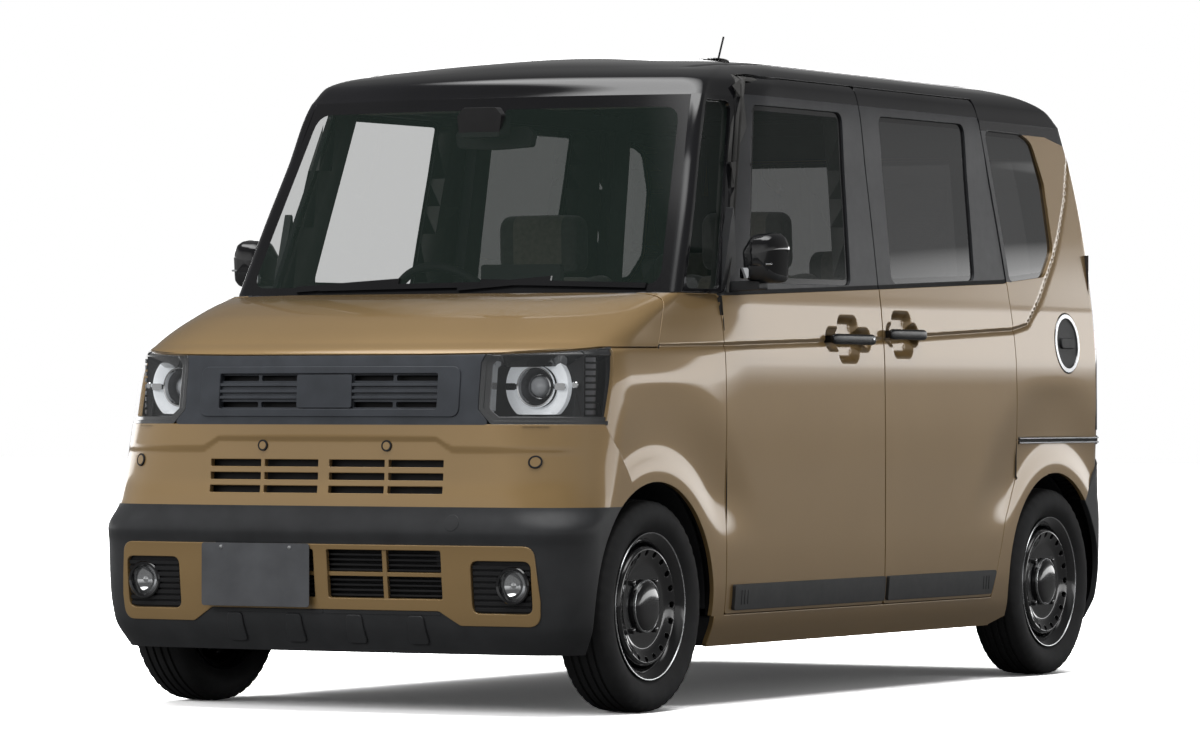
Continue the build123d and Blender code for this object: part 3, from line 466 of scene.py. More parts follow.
def solid(bm, name, materials, body, replaced=(), bevel=0.0, slotName=None, smooth=40, flip=False):
    # a closed piece built in millimetres, with its sharp edges bevelled
    bmesh.ops.recalc_face_normals(bm, faces=list(bm.faces))
    if bevel:
        sharp = [e for e in bm.edges if len(e.link_faces) == 2 and e.calc_face_angle(0) > 0.5]
        bmesh.ops.bevel(bm, geom=sharp, offset=bevel, segments=2, profile=0.5, affect="EDGES",
                clamp_overlap=True)
    if flip:
        bmesh.ops.reverse_faces(bm, faces=list(bm.faces))
    bmesh.ops.scale(bm, verts=list(bm.verts), vec=(-mm if flip else mm, mm, mm))
    obj = linked(name, closedMesh(bm, name, smooth), materials)
    if bevel:
        obj.modifiers.new("evenNormals", "WEIGHTED_NORMAL").keep_sharp = True
    return place(obj, body, replaced)


def addPrism(bm, points, axis, start, end, index=0):
    # an outline in the two other axes, run along one axis
    a, b = [k for k in range(3) if k != axis]
    rings = []
    for at in (start, end):
        ring = []
        for p in points:
            co = [0, 0, 0]
            co[axis], co[a], co[b] = at, p[0], p[1]
            ring.append(bm.verts.new(co))
        rings.append(ring)
    made = [bm.faces.new(rings[0]), bm.faces.new(rings[1][::-1])]
    for k in range(len(points)):
        made.append(bm.faces.new((rings[0][k - 1], rings[0][k], rings[1][k], rings[1][k - 1])))
    for f in made:
        f.material_index = index
    return made


def addBox(bm, x0, x1, y0, y1, z0, z1, index=0):
    return addPrism(bm, rectangle(x0, x1, y0, y1), 2, z0, z1, index)


def addLoft(bm, rings, index=0, caps=True, closed=True):
    # faces between rings that have the same number of points
    made = [[bm.verts.new(p) for p in ring] for ring in rings]
    faces = []
    for a, b in zip(made[:-1], made[1:]):
        for k in range(0 if closed else 1, len(a)):
            faces.append(bm.faces.new((a[k - 1], a[k], b[k], b[k - 1])))
    if caps:
        faces += [bm.faces.new(made[0][::-1]), bm.faces.new(made[-1])]
    for f in faces:
        f.material_index = index
    return made


def addLathe(bm, profile, centre, axis, count=64, index=0, caps=False):
    # a profile of (along, radius) turned about an axis through centre
    axis = Vector(axis).normalized()
    side = axis.cross(Vector((0, 0, 1))).normalized()
    up = side.cross(axis)
    turns = [2 * math.pi * k / count for k in range(count)]
    rings = []
    for along, radius in profile:
        radius = max(radius, 0.05)
        middle = Vector(centre) + axis * along
        rings.append([middle + (side * math.cos(t) + up * math.sin(t)) * radius for t in turns])
    return addLoft(bm, rings, index, caps)


def addTube(bm, path, radius, sides=12, index=0):
    path = [Vector(p) for p in path]
    rings = []
    guide = None
    for k, p in enumerate(path):
        run = (path[min(k + 1, len(path) - 1)] - path[max(k - 1, 0)]).normalized()
        if guide is None:
            guide = run.orthogonal().normalized()
        guide = (guide - run * guide.dot(run)).normalized()
        other = run.cross(guide)
        r = radius[k] if isinstance(radius, (list, tuple)) else radius
        turns = [2 * math.pi * s / sides for s in range(sides)]
        rings.append([p + (guide * math.cos(t) + other * math.sin(t)) * r for t in turns])
    return addLoft(bm, rings, index)


def rectangle(x0, x1, y0, y1):
    return [(x0, y0), (x1, y0), (x1, y1), (x0, y1)]


def roundRect(x0, x1, y0, y1, radius, count=5):
    return softened(rectangle(x0, x1, y0, y1), radius, count)


def circle(cx, cy, radius, count=40):
    return arcPoints(cx, cy, radius, 0, 360 - 360 / count, count - 1)


def frontPatch(xs, zs, offset=0.0):
    # the nose's surface on a grid of x and z, moved out along its normals
    dense = spread(0, *[(k, 14) for k in range(1, len(lowerRows))])
    table = wrapSheet(lowerRows, spread(0, (1, 120), (2, 120), (2.6, 10)), dense)
    ys, heights = [np.array([np.interp(np.abs(xs), line[:, 0], line[:, k]) for line in table]) for k in (1,
            2)]
    p = np.zeros((len(zs), len(xs), 3))
    p[..., 0], p[..., 2] = xs[None, :], zs[:, None]
    for k in range(len(xs)):  # the table's y at each height
        p[:, k, 1] = np.interp(zs, heights[:, k], ys[:, k])
    return pushed(p, offset)


def bounded(outline, step, margin=0.0):
    a = np.array(outline, float)
    lo, hi = a.min(0) - margin, a.max(0) + margin
    counts = np.maximum(np.ceil((hi - lo) / step).astype(int), 2)
    return np.linspace(lo[0], hi[0], counts[0] + 1), np.linspace(lo[1], hi[1], counts[1] + 1)


def skin(p, cuts=(), depth=12.0, radius=1.2, skipMiddle=True, marks=None, bm=None, index=None):
    # a sheet with its edges rolled in, alone or added to bm. A cut is (view, outline) to
    # keep the inside, or (view, outline, False) for a hole. marks then works on the mesh.
    made = sheetMesh(p)
    for each in cuts:
        cut(made, *each)
    if marks:
        marks(made)
    addFlange(made, depth, radius, skipMiddle)
    return made if bm is None else merged(bm, made, index)


def thinPiece(view, p, outline, holes, depth, radius, bm, index=None):
    cuts = [(view, outline)] + [(view, hole, False) for hole in holes]
    return skin(p, cuts, depth, radius, False, None, bm, index)


def frontPiece(outline, holes=(), offset=0.0, depth=10.0, radius=1.2, step=9.0, bm=None):
    # a thin piece that follows the nose, cut out by outlines in (x, z)
    return thinPiece("front", frontPatch(*bounded(outline, step, 1), offset), outline, holes, depth, radius,
            bm)


def sidePiece(outline, offset=0.0, depth=10.0, radius=1.2, step=9.0, bm=None):
    # the same for the car's left side, in (y, z)
    return thinPiece("side", pushed(halfWidths(*bounded(outline, step, 1)), offset), outline, (), depth,
            radius, bm)


def merged(bm, other, index=None):
    # adds one mesh to another, with its stored normals
    if index is not None:
        zone(other, lambda c: True, index)
    mesh = bpy.data.meshes.new("part")
    other.to_mesh(mesh)
    other.free()
    bm.from_mesh(mesh)
    bpy.data.meshes.remove(mesh)
    return bm


def sided(text, side):
    # SIDE in a name, or in each name of a list, becomes left or right
    return text.replace("SIDE", side) if isinstance(text, str) else [sided(each, side) for each in text]


def pair(bmMaker, name, materials, ride, replaced=(), over=()):
    # the same piece on both sides. over names the CAD nodes that it lies over
    for side, mirror in (("left", None), ("right", "flip")):
        obj = toObject(bmMaker(), f"{name}.{side}", materials, mirror)
        place(obj, sided(ride, side), sided(replaced, side))
        lieOver(obj, sided(replaced, side) + sided(over, side))


skins = []


def lieOver(obj, names):
    for name in names:
        obj["over"] = name
        skins.append(obj)


def solidPair(bmMaker, name, materials, ride, replaced=(), **how):
    for side in ("left", "right"):
        solid(bmMaker(), f"{name}.{side}", materials, sided(ride, side), sided(replaced, side),
              flip=side == "right", **how)


def onMiddle(bm, name, materials, body, replaced=(), over=()):
    # one piece from its left half
    obj = place(toObject(bm, name, materials, "weld"), body, replaced)
    lieOver(obj, list(replaced) + list(over))


def innerCopy(name, material, body, shrink=3.0, near=14.0):
    # the CAD solid drawn in a little, without its outer faces, as the structure behind the skins
    source = nodes[name]
    trees = []
    for data in [o.data for o in skins if o["over"] == name]:
        trees.append(BVHTree.FromPolygons([v.co for v in data.vertices],
                [tuple(p.vertices) for p in data.polygons]))
    bm = bmesh.new()
    bm.from_mesh(source.data)
    bmesh.ops.remove_doubles(bm, verts=list(bm.verts), dist=0.00001)
    bm.normal_update()
    gone = []
    for f in bm.faces:
        for tree in trees:
            at, normal = tree.find_nearest(f.calc_center_median(), near * mm)[:2]
            if at is not None and f.normal.dot(normal) > 0.6:
                gone.append(f)
                break
    for v, n in [(v, v.normal.copy()) for v in bm.verts]:
        v.co -= n * shrink * mm
    bmesh.ops.delete(bm, geom=gone, context="FACES")
    obj = linked(name + ".inner", closedMesh(bm, name + ".inner", 30), material)
    obj.matrix_world = source.matrix_world.copy()
    place(obj, body)


def innerPair(name, material, body):
    for side in ("left", "right"):
        innerCopy(sided(name, side), material, sided(body, side))


def newMaterial(name, colour, roughness=0.5, metallic=0.0):
    mat = bpy.data.materials.new(name)
    mat.use_nodes = True
    tree = mat.node_tree
    shader = tree.nodes["Principled BSDF"]
    shader.inputs["Base Color"].default_value = (*colour, 1)
    shader.inputs["Roughness"].default_value = roughness
    shader.inputs["Metallic"].default_value = metallic
    mat.diffuse_color = (*colour, 1)
    return mat, tree, shader


def addNode(tree, kind, **values):
    node = tree.nodes.new(kind)
    for key, value in values.items():
        setattr(node, key, value)
    return node


def noise(tree, scale, detail=3.0, stretch=(1, 1, 1)):
    # noise over the object's own coordinates, in metres
    at = addNode(tree, "ShaderNodeTexCoord")
    turn = addNode(tree, "ShaderNodeMapping")
    turn.inputs["Scale"].default_value = stretch
    tex = addNode(tree, "ShaderNodeTexNoise")
    tex.inputs["Scale"].default_value = scale
    tex.inputs["Detail"].default_value = detail
    tree.links.new(at.outputs["Object"], turn.inputs["Vector"])
    tree.links.new(turn.outputs["Vector"], tex.inputs["Vector"])
    return tex.outputs["Fac"]


def ramp(tree, source, stops, interpolation="LINEAR"):
    node = addNode(tree, "ShaderNodeValToRGB")
    parts = node.color_ramp.elements
    node.color_ramp.interpolation = interpolation
    while len(parts) < len(stops):
        parts.new(0.5)
    for part, (at, colour) in zip(parts, stops):
        part.position = at
        part.color = (*colour, 1)
    tree.links.new(source, node.inputs["Fac"])
    return node.outputs["Color"]


def remap(tree, source, low, high, fromLow=0.0, fromHigh=1.0):
    node = addNode(tree, "ShaderNodeMapRange")
    for key, value in (("From Min", fromLow), ("From Max", fromHigh), ("To Min", low), ("To Max", high)):
        node.inputs[key].default_value = value
    tree.links.new(source, node.inputs["Value"])
    return node.outputs["Result"]


def bump(tree, shader, height, strength, distance=0.001):
    node = addNode(tree, "ShaderNodeBump")
    node.inputs["Strength"].default_value = strength
    node.inputs["Distance"].default_value = distance
    tree.links.new(height, node.inputs["Height"])
    tree.links.new(node.outputs["Normal"], shader.inputs["Normal"])
    return node


def vary(tree, shader, source, low, high):
    tree.links.new(ramp(tree, source, [(0.3, low), (0.7, high)]), shader.inputs["Base Color"])


def paintMaterial(name, low, high, metallic, roughness, flake=0.0, peel=0.02, coat=1.0):
    mat, tree, shader = newMaterial(name, high, roughness, metallic)
    vary(tree, shader, noise(tree, 3.0, 2.0), low, high)
    shader.inputs["Coat Weight"].default_value = coat
    shader.inputs["Coat Roughness"].default_value = 0.02
    if flake:
        rough = remap(tree, noise(tree, 1400, 1.0), roughness - flake, roughness + flake)
        tree.links.new(rough, shader.inputs["Roughness"])
    bump(tree, shader, noise(tree, 260, 2.0), peel, 0.0005)
    return mat


def plasticMaterial(name, colour, roughness, grain=900.0, depth=0.25, change=0.15):
    low, high = tuple(c * (1 - change) for c in colour), tuple(c * (1 + change) for c in colour)
    mat, tree, shader = newMaterial(name, colour, roughness)
    vary(tree, shader, noise(tree, 14.0, 4.0), low, high)
    rough = remap(tree, noise(tree, 40, 3.0), roughness - 0.06, roughness + 0.06)
    tree.links.new(rough, shader.inputs["Roughness"])
    bump(tree, shader, noise(tree, grain, 2.0), depth, 0.0004)
    return mat


def glassMaterial(name, colour, alpha, coatIor=1.5):
    mat, tree, shader = newMaterial(name, colour, 0.02)
    vary(tree, shader, noise(tree, 2.0, 1.0), tuple(c * 0.9 for c in colour), colour)
    shader.inputs["Alpha"].default_value = alpha
    shader.inputs["Coat Weight"].default_value = 1.0
    shader.inputs["Coat Roughness"].default_value = 0.01
    shader.inputs["Coat IOR"].default_value = coatIor
    mat.surface_render_method = "DITHERED"
    return mat


def metalMaterial(name, colour, roughness, grain=(1, 1, 1)):
    mat, tree, shader = newMaterial(name, colour, roughness, 1.0)
    vary(tree, shader, noise(tree, 30.0, 3.0, grain), tuple(c * 0.92 for c in colour), colour)
    rough = remap(tree, noise(tree, 120, 2.0, grain), roughness * 0.7, roughness * 1.3)
    tree.links.new(rough, shader.inputs["Roughness"])
    return mat


def fabricMaterial(name, low, high, scale=700.0):
    # a woven cloth: two crossed sets of threads in the bump, with a soft sheen
    mat, tree, shader = newMaterial(name, high, 0.85)
    vary(tree, shader, noise(tree, 60.0, 5.0), low, high)
    at = addNode(tree, "ShaderNodeTexCoord")
    threads = []
    for direction in ("X", "Z"):
        wave = addNode(tree, "ShaderNodeTexWave", bands_direction=direction)
        wave.inputs["Scale"].default_value = scale / 3
        wave.inputs["Distortion"].default_value = 1.5
        tree.links.new(at.outputs["Object"], wave.inputs["Vector"])
        threads.append(wave.outputs["Fac"])
    both = addNode(tree, "ShaderNodeMath", operation="ADD")
    for k in range(2):
        tree.links.new(threads[k], both.inputs[k])
    bump(tree, shader, both.outputs["Value"], 0.35, 0.0006)
    shader.inputs["Sheen Weight"].default_value = 0.3
    return mat


paint = paintMaterial("goldPearl", (0.345, 0.222, 0.092), (0.365, 0.236, 0.099), 0.35, 0.34, 0.05)
blackPaint = paintMaterial("roofBlack", (0.006, 0.006, 0.007), (0.010, 0.010, 0.012), 0.0, 0.12)
claddingPlastic = plasticMaterial("charcoalCladding", (0.030, 0.031, 0.033), 0.48)
framePlastic = plasticMaterial("doorFrameGrey", (0.040, 0.041, 0.045), 0.40, 1500, 0.1)
grillePlastic = plasticMaterial("grilleSlate", (0.046, 0.051, 0.060), 0.42, 1200, 0.15)
glossPlastic = paintMaterial("glossTrim", (0.005, 0.005, 0.006), (0.009, 0.009, 0.010), 0.0, 0.1)
handlePlastic = plasticMaterial("handleBlack", (0.008, 0.008, 0.009), 0.24, 1500, 0.05)
darkPlastic = plasticMaterial("innerPlastic", (0.012, 0.012, 0.013), 0.6)
sealRubber = plasticMaterial("sealRubber", (0.010, 0.010, 0.011), 0.7, 600, 0.15)
trimPlastic = plasticMaterial("cabinTrim", (0.055, 0.054, 0.052), 0.6, 1100, 0.3)
headliner = plasticMaterial("headliner", (0.30, 0.29, 0.27), 0.9, 500, 0.4)
carpet = plasticMaterial("floorCarpet", (0.030, 0.029, 0.028), 0.95, 350, 0.9)
structurePaint = plasticMaterial("pressedStructure", (0.026, 0.026, 0.028), 0.55, 500, 0.1)
engineMetal = metalMaterial("castAlloy", (0.30, 0.30, 0.31), 0.5)
steelMetal = metalMaterial("darkSteel", (0.16, 0.16, 0.17), 0.45)
chrome = metalMaterial("brightChrome", (0.86, 0.87, 0.88), 0.06)
frosted = plasticMaterial("frostedRing", (0.74, 0.76, 0.78), 0.28, 300, 0.1, 0.05)
glow = frosted.node_tree.nodes["Principled BSDF"]
glow.inputs["Emission Color"].default_value = (0.80, 0.84, 0.88, 1)
glow.inputs["Emission Strength"].default_value = 0.32
silverTrim = metalMaterial("silverTrim", (0.62, 0.63, 0.64), 0.22)
tyreRubber = plasticMaterial("tyreRubber", (0.020, 0.020, 0.021), 0.72, 500, 0.3)
wheelPaint = paintMaterial("wheelGloss", (0.006, 0.006, 0.007), (0.011, 0.011, 0.012), 0.0, 0.16)
seatCloth = fabricMaterial("seatCloth", (0.030, 0.029, 0.027), (0.050, 0.048, 0.045))
seatPanel = fabricMaterial("seatPanelCloth", (0.085, 0.078, 0.065), (0.125, 0.115, 0.095), 500)
clearGlass = glassMaterial("greenGlass", (0.035, 0.055, 0.046), 0.30, 1.7)
privacyGlass = glassMaterial("privacyGlass", (0.010, 0.012, 0.013), 0.90, 2.3)
lampGlass = glassMaterial("lampClear", (0.50, 0.52, 0.53), 0.07, 1.5)
redGlass = glassMaterial("lampRed", (0.42, 0.012, 0.012), 0.86, 1.7)
whiteLens = glassMaterial("lampWhite", (0.62, 0.62, 0.62), 0.62, 1.7)
smokeLens = glassMaterial("lampSmoke", (0.030, 0.022, 0.022), 0.88, 1.9)
platePaint = plasticMaterial("plateBlank", (0.085, 0.088, 0.095), 0.35, 900, 0.05)
lampCore = glassMaterial("projectorLens", (0.55, 0.57, 0.60), 0.92, 2.0)
mirrorGlass = metalMaterial("mirrorGlass", (0.80, 0.82, 0.84), 0.02)
screenGlass = glassMaterial("displayGlass", (0.010, 0.011, 0.013), 1.0, 1.6)
print("materials made")


# side outlines in (y, z), as in the CAD
bodyLines = {
    "doorFront": [(-817, 245), (-817, 1094), (-772, 1103), (-562, 1640), (-524, 1702)],
    "slideRear": [(935, 1702), (1015, 1160), (1034, 1000), (1043, 704), (1040, 590), (956, 468), (872, 245)],
    "bonnet": [(-1900, 931), (-1640, 935), (-1428, 955), (-1168, 957), (-1090, 1076), (-1092, 1120)],
    "bumper": [(-1463, 751), (-1442, 713), (-1355, 614), (-1300, 520)],
    "rearBumper": [(1500, 470), (1530, 517), (1600, 600), (1655, 640), (1800, 648)],
    "frontWindow": [(-648, 1132), (-500, 1622), (34, 1624), (-22, 1136)],
    "slideWindow": [(240, 1145), (266, 1624), (838, 1626), (800, 1166)],
    "quarterWindow": [(1038, 1166), (974, 1614), (1236, 1612), (1302, 1590), (1362, 1470), (1374, 1265),
            (1290, 1186)],
    "cornerWindow": [(-966, 1112), (-718, 1628), (-598, 1628), (-802, 1112)],
}
halfGap = 2.5
archRadius = 325.0
tyreZ = 278.5
frontAxle, rearAxle = -1210.0, 1310.0
beltLine = [(-1100, 1090), (-817, 1094), (118, 1127), (990, 1160), (1239, 1192), (1700, 1215)]
beltStrip = 13.0
blackTop = 1648.0


def shifted(points, dy, dz=0.0):
    return [(y + dy, z + dz) for y, z in points]


def lineAt(points, at):
    # the height of a line of points, for one place or many along it
    return np.interp(at, [p[0] for p in points], [p[1] for p in points])


def beltAt(y):
    return lineAt(beltLine, y)


def smoothStep(t):
    t = np.clip(t, 0, 1)
    return t * t * (3 - 2 * t)


# Features pressed into the side, in millimetres: the groove under the belt line, the
# flares over the wheels and the bowls behind the handles.
sideForm = {
    "groove": [(-1428, 952), (-1193, 957), (-825, 963), (54, 986), (1025, 1025), (1132, 1041), (1239, 1117),
               (1362, 1233),
               (1420, 1300), (1500, 1420), (1560, 1560)],
    "grooveDepth": 4.0,
    "grooveWidth": 7.0,
    "flareDrop": 7.0,
    "flareFrom": 345.0,
    "flareTo": 425.0,
    "flareFade": 640.0,
    "bowls": [(-74, 986, 144), (273, 1003, 108)],  # y, z and half length
    "bowlLobe": (66, 67),
    "bowlBar": 34,
    "bowlCorner": 30,
    "bowlDepth": 17.0,
}


def distanceToLine(y, z, points):
    # distance, positive above the line
    best = np.full(y.shape, 1e9)
    side = np.zeros(y.shape)
    for (y0, z0), (y1, z1) in zip(points[:-1], points[1:]):
        dy, dz = y1 - y0, z1 - z0
        t = np.clip(((y - y0) * dy + (z - z0) * dz) / (dy * dy + dz * dz), 0, 1)
        gy, gz = y - (y0 + t * dy), z - (z0 + t * dz)
        d = np.hypot(gy, gz)
        better = d < best
        best = np.where(better, d, best)
        side = np.where(better, np.sign(gz * dy - gy * dz), side)
    return best * np.where(side == 0, 1, side)


def roundedBox(u, v, halfU, halfV, corner):
    # signed distance to a rectangle with round corners, negative inside
    du, dv = np.abs(u) - halfU + corner, np.abs(v) - halfV + corner
    outer = np.hypot(np.maximum(du, 0), np.maximum(dv, 0))
    return outer + np.minimum(np.maximum(du, dv), 0) - corner


def bowlDepth(y, z):
    f = sideForm
    out = np.zeros(y.shape)
    for cy, cz, half in f["bowls"]:
        bar = roundedBox(y - cy, z - cz, half, f["bowlBar"], f["bowlCorner"])
        lobes = roundedBox(y - cy, z - cz, *f["bowlLobe"], f["bowlCorner"])
        d = np.minimum(bar, lobes)
        out = np.maximum(out, f["bowlDepth"] * smoothStep(-d / 22))
    return out


def sideDepth(_, y, z):
    f = sideForm
    d = distanceToLine(y, z, f["groove"])
    fade = smoothStep((y + 1440) / 60)
    # a sharp upper lip, and a softer run out below it
    profile = np.where(d > 0, np.exp(-(d / 3.2)**2), np.exp(-(d / f["grooveWidth"])**2))
    out = -f["grooveDepth"] * profile * fade
    for axle in (frontAxle, rearAxle):
        r = np.hypot(y - axle, z - tyreZ)
        upper = smoothStep((z - 420) / 160) * (1 - smoothStep((z - 820) / 80))
        ledge = smoothStep((r - f["flareFrom"]) / (f["flareTo"] - f["flareFrom"]))
        back = 1 - smoothStep((r - f["flareTo"]) / (f["flareFade"] - f["flareTo"]))
        out = out - f["flareDrop"] * ledge * back * upper
    return out - bowlDepth(y, z)


def sideSheet(ys, zs):
    return raised(halfWidths(ys, zs), sideDepth)


def gridLine(low, high, step, fine=()):
    # an even grid line with closer steps in some parts
    out, at = [low], low
    while at < high:
        here = step
        for a, b, close in fine:
            if a - step < at < b:
                here = min(here, close)
        at += here
        out.append(at)
    return np.array(out)


fineY = [(frontAxle - 20, -760, 8), (-225, 75, 4.5), (160, 385, 4.5)]
fineZ = [(915, 1075, 4.0), (560, 720, 8)]


def panelSheet(outline, offset=0.0):
    a = np.array(outline)
    lo, hi = a.min(0) - 3, a.max(0) + 3
    return pushed(sideSheet(gridLine(lo[0], hi[0], 14, fineY), gridLine(lo[1], hi[1], 12, fineZ)), offset)


frontArch, rearArch = [("side", circle(y, tyreZ, archRadius, 96), False) for y in (frontAxle, rearAxle)]


belowBelt = beltLine + [(1900, 1215), (1900, 100), (-1300, 100), (-1300, 1090)]
aboveBelt = [(y, z + 0.6) for y, z in beltLine] + [(1900, 1215.6), (1900, 1900), (-1300, 1900),
        (-1300, 1090.6)]
frameInset = -2.5


def bandZones(bm):
    # the strip under the glass, the frame and the black top, as material indices
    cut(bm, "side", [(y, z + beltStrip) for y, z in beltLine] + [(1900, 1000), (-1300, 1000)], drop=False)
    cutAt(bm, 2, blackTop)
    zone(bm, lambda c: c.z < beltAt(c.y) + beltStrip, 1)
    zone(bm, lambda c: c.z > blackTop, 2)


print("doors")
rearEdge = 150 - 3.5
doorOutline = shifted(bodyLines["doorFront"], halfGap, halfGap)
doorOutline[-1] = (doorOutline[-1][0], 1702 - halfGap)
doorOutline += [(rearEdge, 1702 - halfGap), (rearEdge, 245 + halfGap)]
doorOutline = softened(doorOutline, [10, 3, 60, 60, 10, 14, 10])
slideFront = 150 + 3.5
slideOutline = [(slideFront, 245 + halfGap), (slideFront, 1702 - halfGap)] + shifted(bodyLines["slideRear"],
        -halfGap)
slideOutline[2] = (slideOutline[2][0], 1702 - halfGap)
slideOutline[-1] = (slideOutline[-1][0] + 1, 245 + halfGap)
slideOutline = softened(slideOutline, [10, 14, 14, 120, 120, 120, 90, 90, 20])
windows = {
    "front": softened(bodyLines["frontWindow"], 30),
    "slide": softened(bodyLines["slideWindow"], 30),
    "quarter": softened(bodyLines["quarterWindow"], [26, 26, 20, 60, 90, 60, 60]),
    "corner": softened(bodyLines["cornerWindow"], 22),
}


def doorSkins(name, outline, window, ride, node):
    def lower():
        return skin(panelSheet(outline), [("side", outline), ("side", belowBelt)])

    def upper():
        cuts = [("side", outline), ("side", aboveBelt), ("side", window, False)]
        return skin(panelSheet(outline, frameInset), cuts, marks=bandZones)

    pair(lower, name + "Skin", paint, ride, [node])
    pair(upper, name + "Frame", [framePlastic, sealRubber, blackPaint], ride, over=[node])
    innerPair(node, trimPlastic, ride)


doorSkins("frontDoor", doorOutline, windows["front"], "door_SIDE", "front_door_SIDE")
doorSkins("slidingDoor", slideOutline, windows["slide"], "body", "sliding_door_SIDE")

quarterForm = {
    "rail": (1058, 1640, 690, 710),  # y from and to, z from and to
    "lidRadius": 92.0,
    "lid": (1410.0, 990.0),
    "gate": [(-10, 600), (611, 600), (611, 1262), (568, 1640), (568, 1800), (-10, 1800)],
    "lamp": (1612.0, 730.7, 1262.3),  # y of its front edge, z from and to
    "pillarFront": [(1052, 1165), (985, 1612)],  # the dark strip ends here
    "topLine": [(900, 1611), (1400, 1609), (1600, 1575)],  # black above it
}


def quarterSkin():
    # the rear quarter wraps round the corner to the tailgate's edge
    f = quarterForm
    levels = spread(0, (2, 14), (5, 22), (7, 30), (9, 30), (13, 40), (14, 30), (15, 24), (16, 26))
    stations = spread(3.55, (4.0, 66), (5.0, 18), (5.25, 4))
    line = shifted(bodyLines["slideRear"][1:], halfGap)
    edge = line[::-1] + [(946.5, 1639.5), (1800, 1639.5), (1800, 648)] + bodyLines["rearBumper"][::-1][1:]
    y0, y1, z0, z1 = f["rail"]
    cuts = [("side", edge + [(1500, 300), (905, 165), (860, 165)]), ("side", windows["quarter"], False),
            rearArch,
            ("side", roundRect(y0, y1 - 4, z0, z1, 4), False),
            ("side", circle(*f["lid"], f["lidRadius"], 64), False), ("front", f["gate"], False)]
    return skin(raised(wrapSheet(lowerRows + upperRows[1:4], stations, levels), sideDepth), cuts,
                marks=quarterMarks)


def quarterMarks(bm):
    # the tail lamp's opening, the dark strip in front of the window and the black top
    f = quarterForm
    y, low, high = f["lamp"]
    cutAt(bm, 1, y)
    for z in (low, high):
        cutAt(bm, 2, z, only=lambda c: c.y > y)
    dropWhere(bm, lambda c: c.y > y and low < c.z < high)
    (fy0, fz0), (fy1, fz1) = f["pillarFront"]
    for line in ([(900, 1138), (fy0 + 14, 1166), (1290, 1192), (1290, 1100), (900, 1100)],
                 f["pillarFront"] + [(900, 1700), (900, 1100)],
                 f["topLine"] + [(1700, 1560), (1700, 1900), (900, 1900)]):
        cut(bm, "side", line, drop=False)
    zone(bm, lambda c: c.y < fy0 + (fy1 - fy0) * (c.z - fz0) / (fz1 - fz0) + 6 and c.z > beltAt(c.y), 1)
    zone(bm, lambda c: c.z > lineAt(f["topLine"], c.y), 2)


pair(quarterSkin, "quarterSkin", [paint, framePlastic, blackPaint], "body", ["body_side_SIDE"])


def sillSkin():
    return skin(halfWidths(np.linspace(-868, 903, 90), np.linspace(162, 242, 12)), [rearArch], 14, 3)


pair(sillSkin, "sillSkin", paint, "body", over=["body_side_SIDE"])
innerPair("body_side_SIDE", structurePaint, "body")

mouldingForm = {"height": (256, 322), "ribs": 3, "ribStep": 18, "ribWidth": 7, "ribInset": 14}


def moulding(span, ribsAt, slant=0):
    def build():
        f = mouldingForm
        z0, z1 = f["height"]
        y0, y1 = span
        edge = softened([(y0, z0), (y1 - slant, z0), (y1, z1), (y0, z1)], 7)
        bm = sidePiece(edge, offset=9.5, depth=14, radius=1.5, step=16)
        for k in range(f["ribs"]):
            y = ribsAt + k * f["ribStep"]
            rib = roundRect(y, y + f["ribWidth"], z0 + f["ribInset"], z1 - f["ribInset"], 3, 3)
            sidePiece(rib, offset=10.9, depth=3, radius=1.0, step=20, bm=bm)
        return bm
    return build


pair(moulding((-778, 138), -742), "doorMoulding", claddingPlastic, "door_SIDE")
pair(moulding((162, 880), 790, 28), "slidingMoulding", claddingPlastic, "body")


def railSlot():
    y0, y1, z0, z1 = quarterForm["rail"]
    bm = sidePiece(roundRect(y0 - 2, y1 + 2, z0 - 2, z1 + 2, 4), -10, 4, step=20)
    for z in (z0 + 2, z1 - 5):
        merged(bm, sidePiece(roundRect(y0 + 4, y1 - 6, z, z + 3, 1, 2), -2, 6, 0.6, 20), 1)
    return bm


pair(railSlot, "railSlot", [darkPlastic, silverTrim], "body")

print("front end")


def wingSkin():
    levels = spread(0, (2, 14), (5, 26), (7, 40), (9, 24), (13, 44))
    edge = bumperEdge[::-1] + [(-1100, 242.8), (-819.5, 242.8), (-819.5, 1099), (-1078, 1099), (-1084, 1080)]
    edge += shifted(bodyLines["bonnet"][2:4], 0, -5)[::-1] + [(-1400, 950.5), (-1456, 751.3)]
    sheet = raised(wrapSheet(lowerRows, spread(1.0, (2.0, 30), (3.0, 80)), levels), sideDepth)
    return skin(sheet, [("side", edge), frontArch])


bumperEdge = [(-1299.7, 520.3), (-1354.7, 614.3), (-1441.7, 713.3), (-1463, 751.3)]  # the wing's edge over it


pair(wingSkin, "wingSkin", paint, "body", ["fender_SIDE"])
innerPair("fender_SIDE", structurePaint, "body")


def bonnetSkin():
    levels = spread(7, (8, 10), (9, 16), (10, 16), (11, 16), (12, 16), (13, 20))
    edge = bodyLines["bonnet"][:-1] + [(-1092, 1100.5), (-1092, 1120), (-1900, 1120)]
    return skin(wrapSheet(lowerRows, spread(0, (1.0, 60), (2.0, 40), (3.0, 30)), levels), [("side", edge)],
                14)


onMiddle(bonnetSkin(), "bonnetSkin", paint, "bonnet_panel", ["bonnet"])
innerCopy("bonnet", structurePaint, "bonnet_panel", 4)

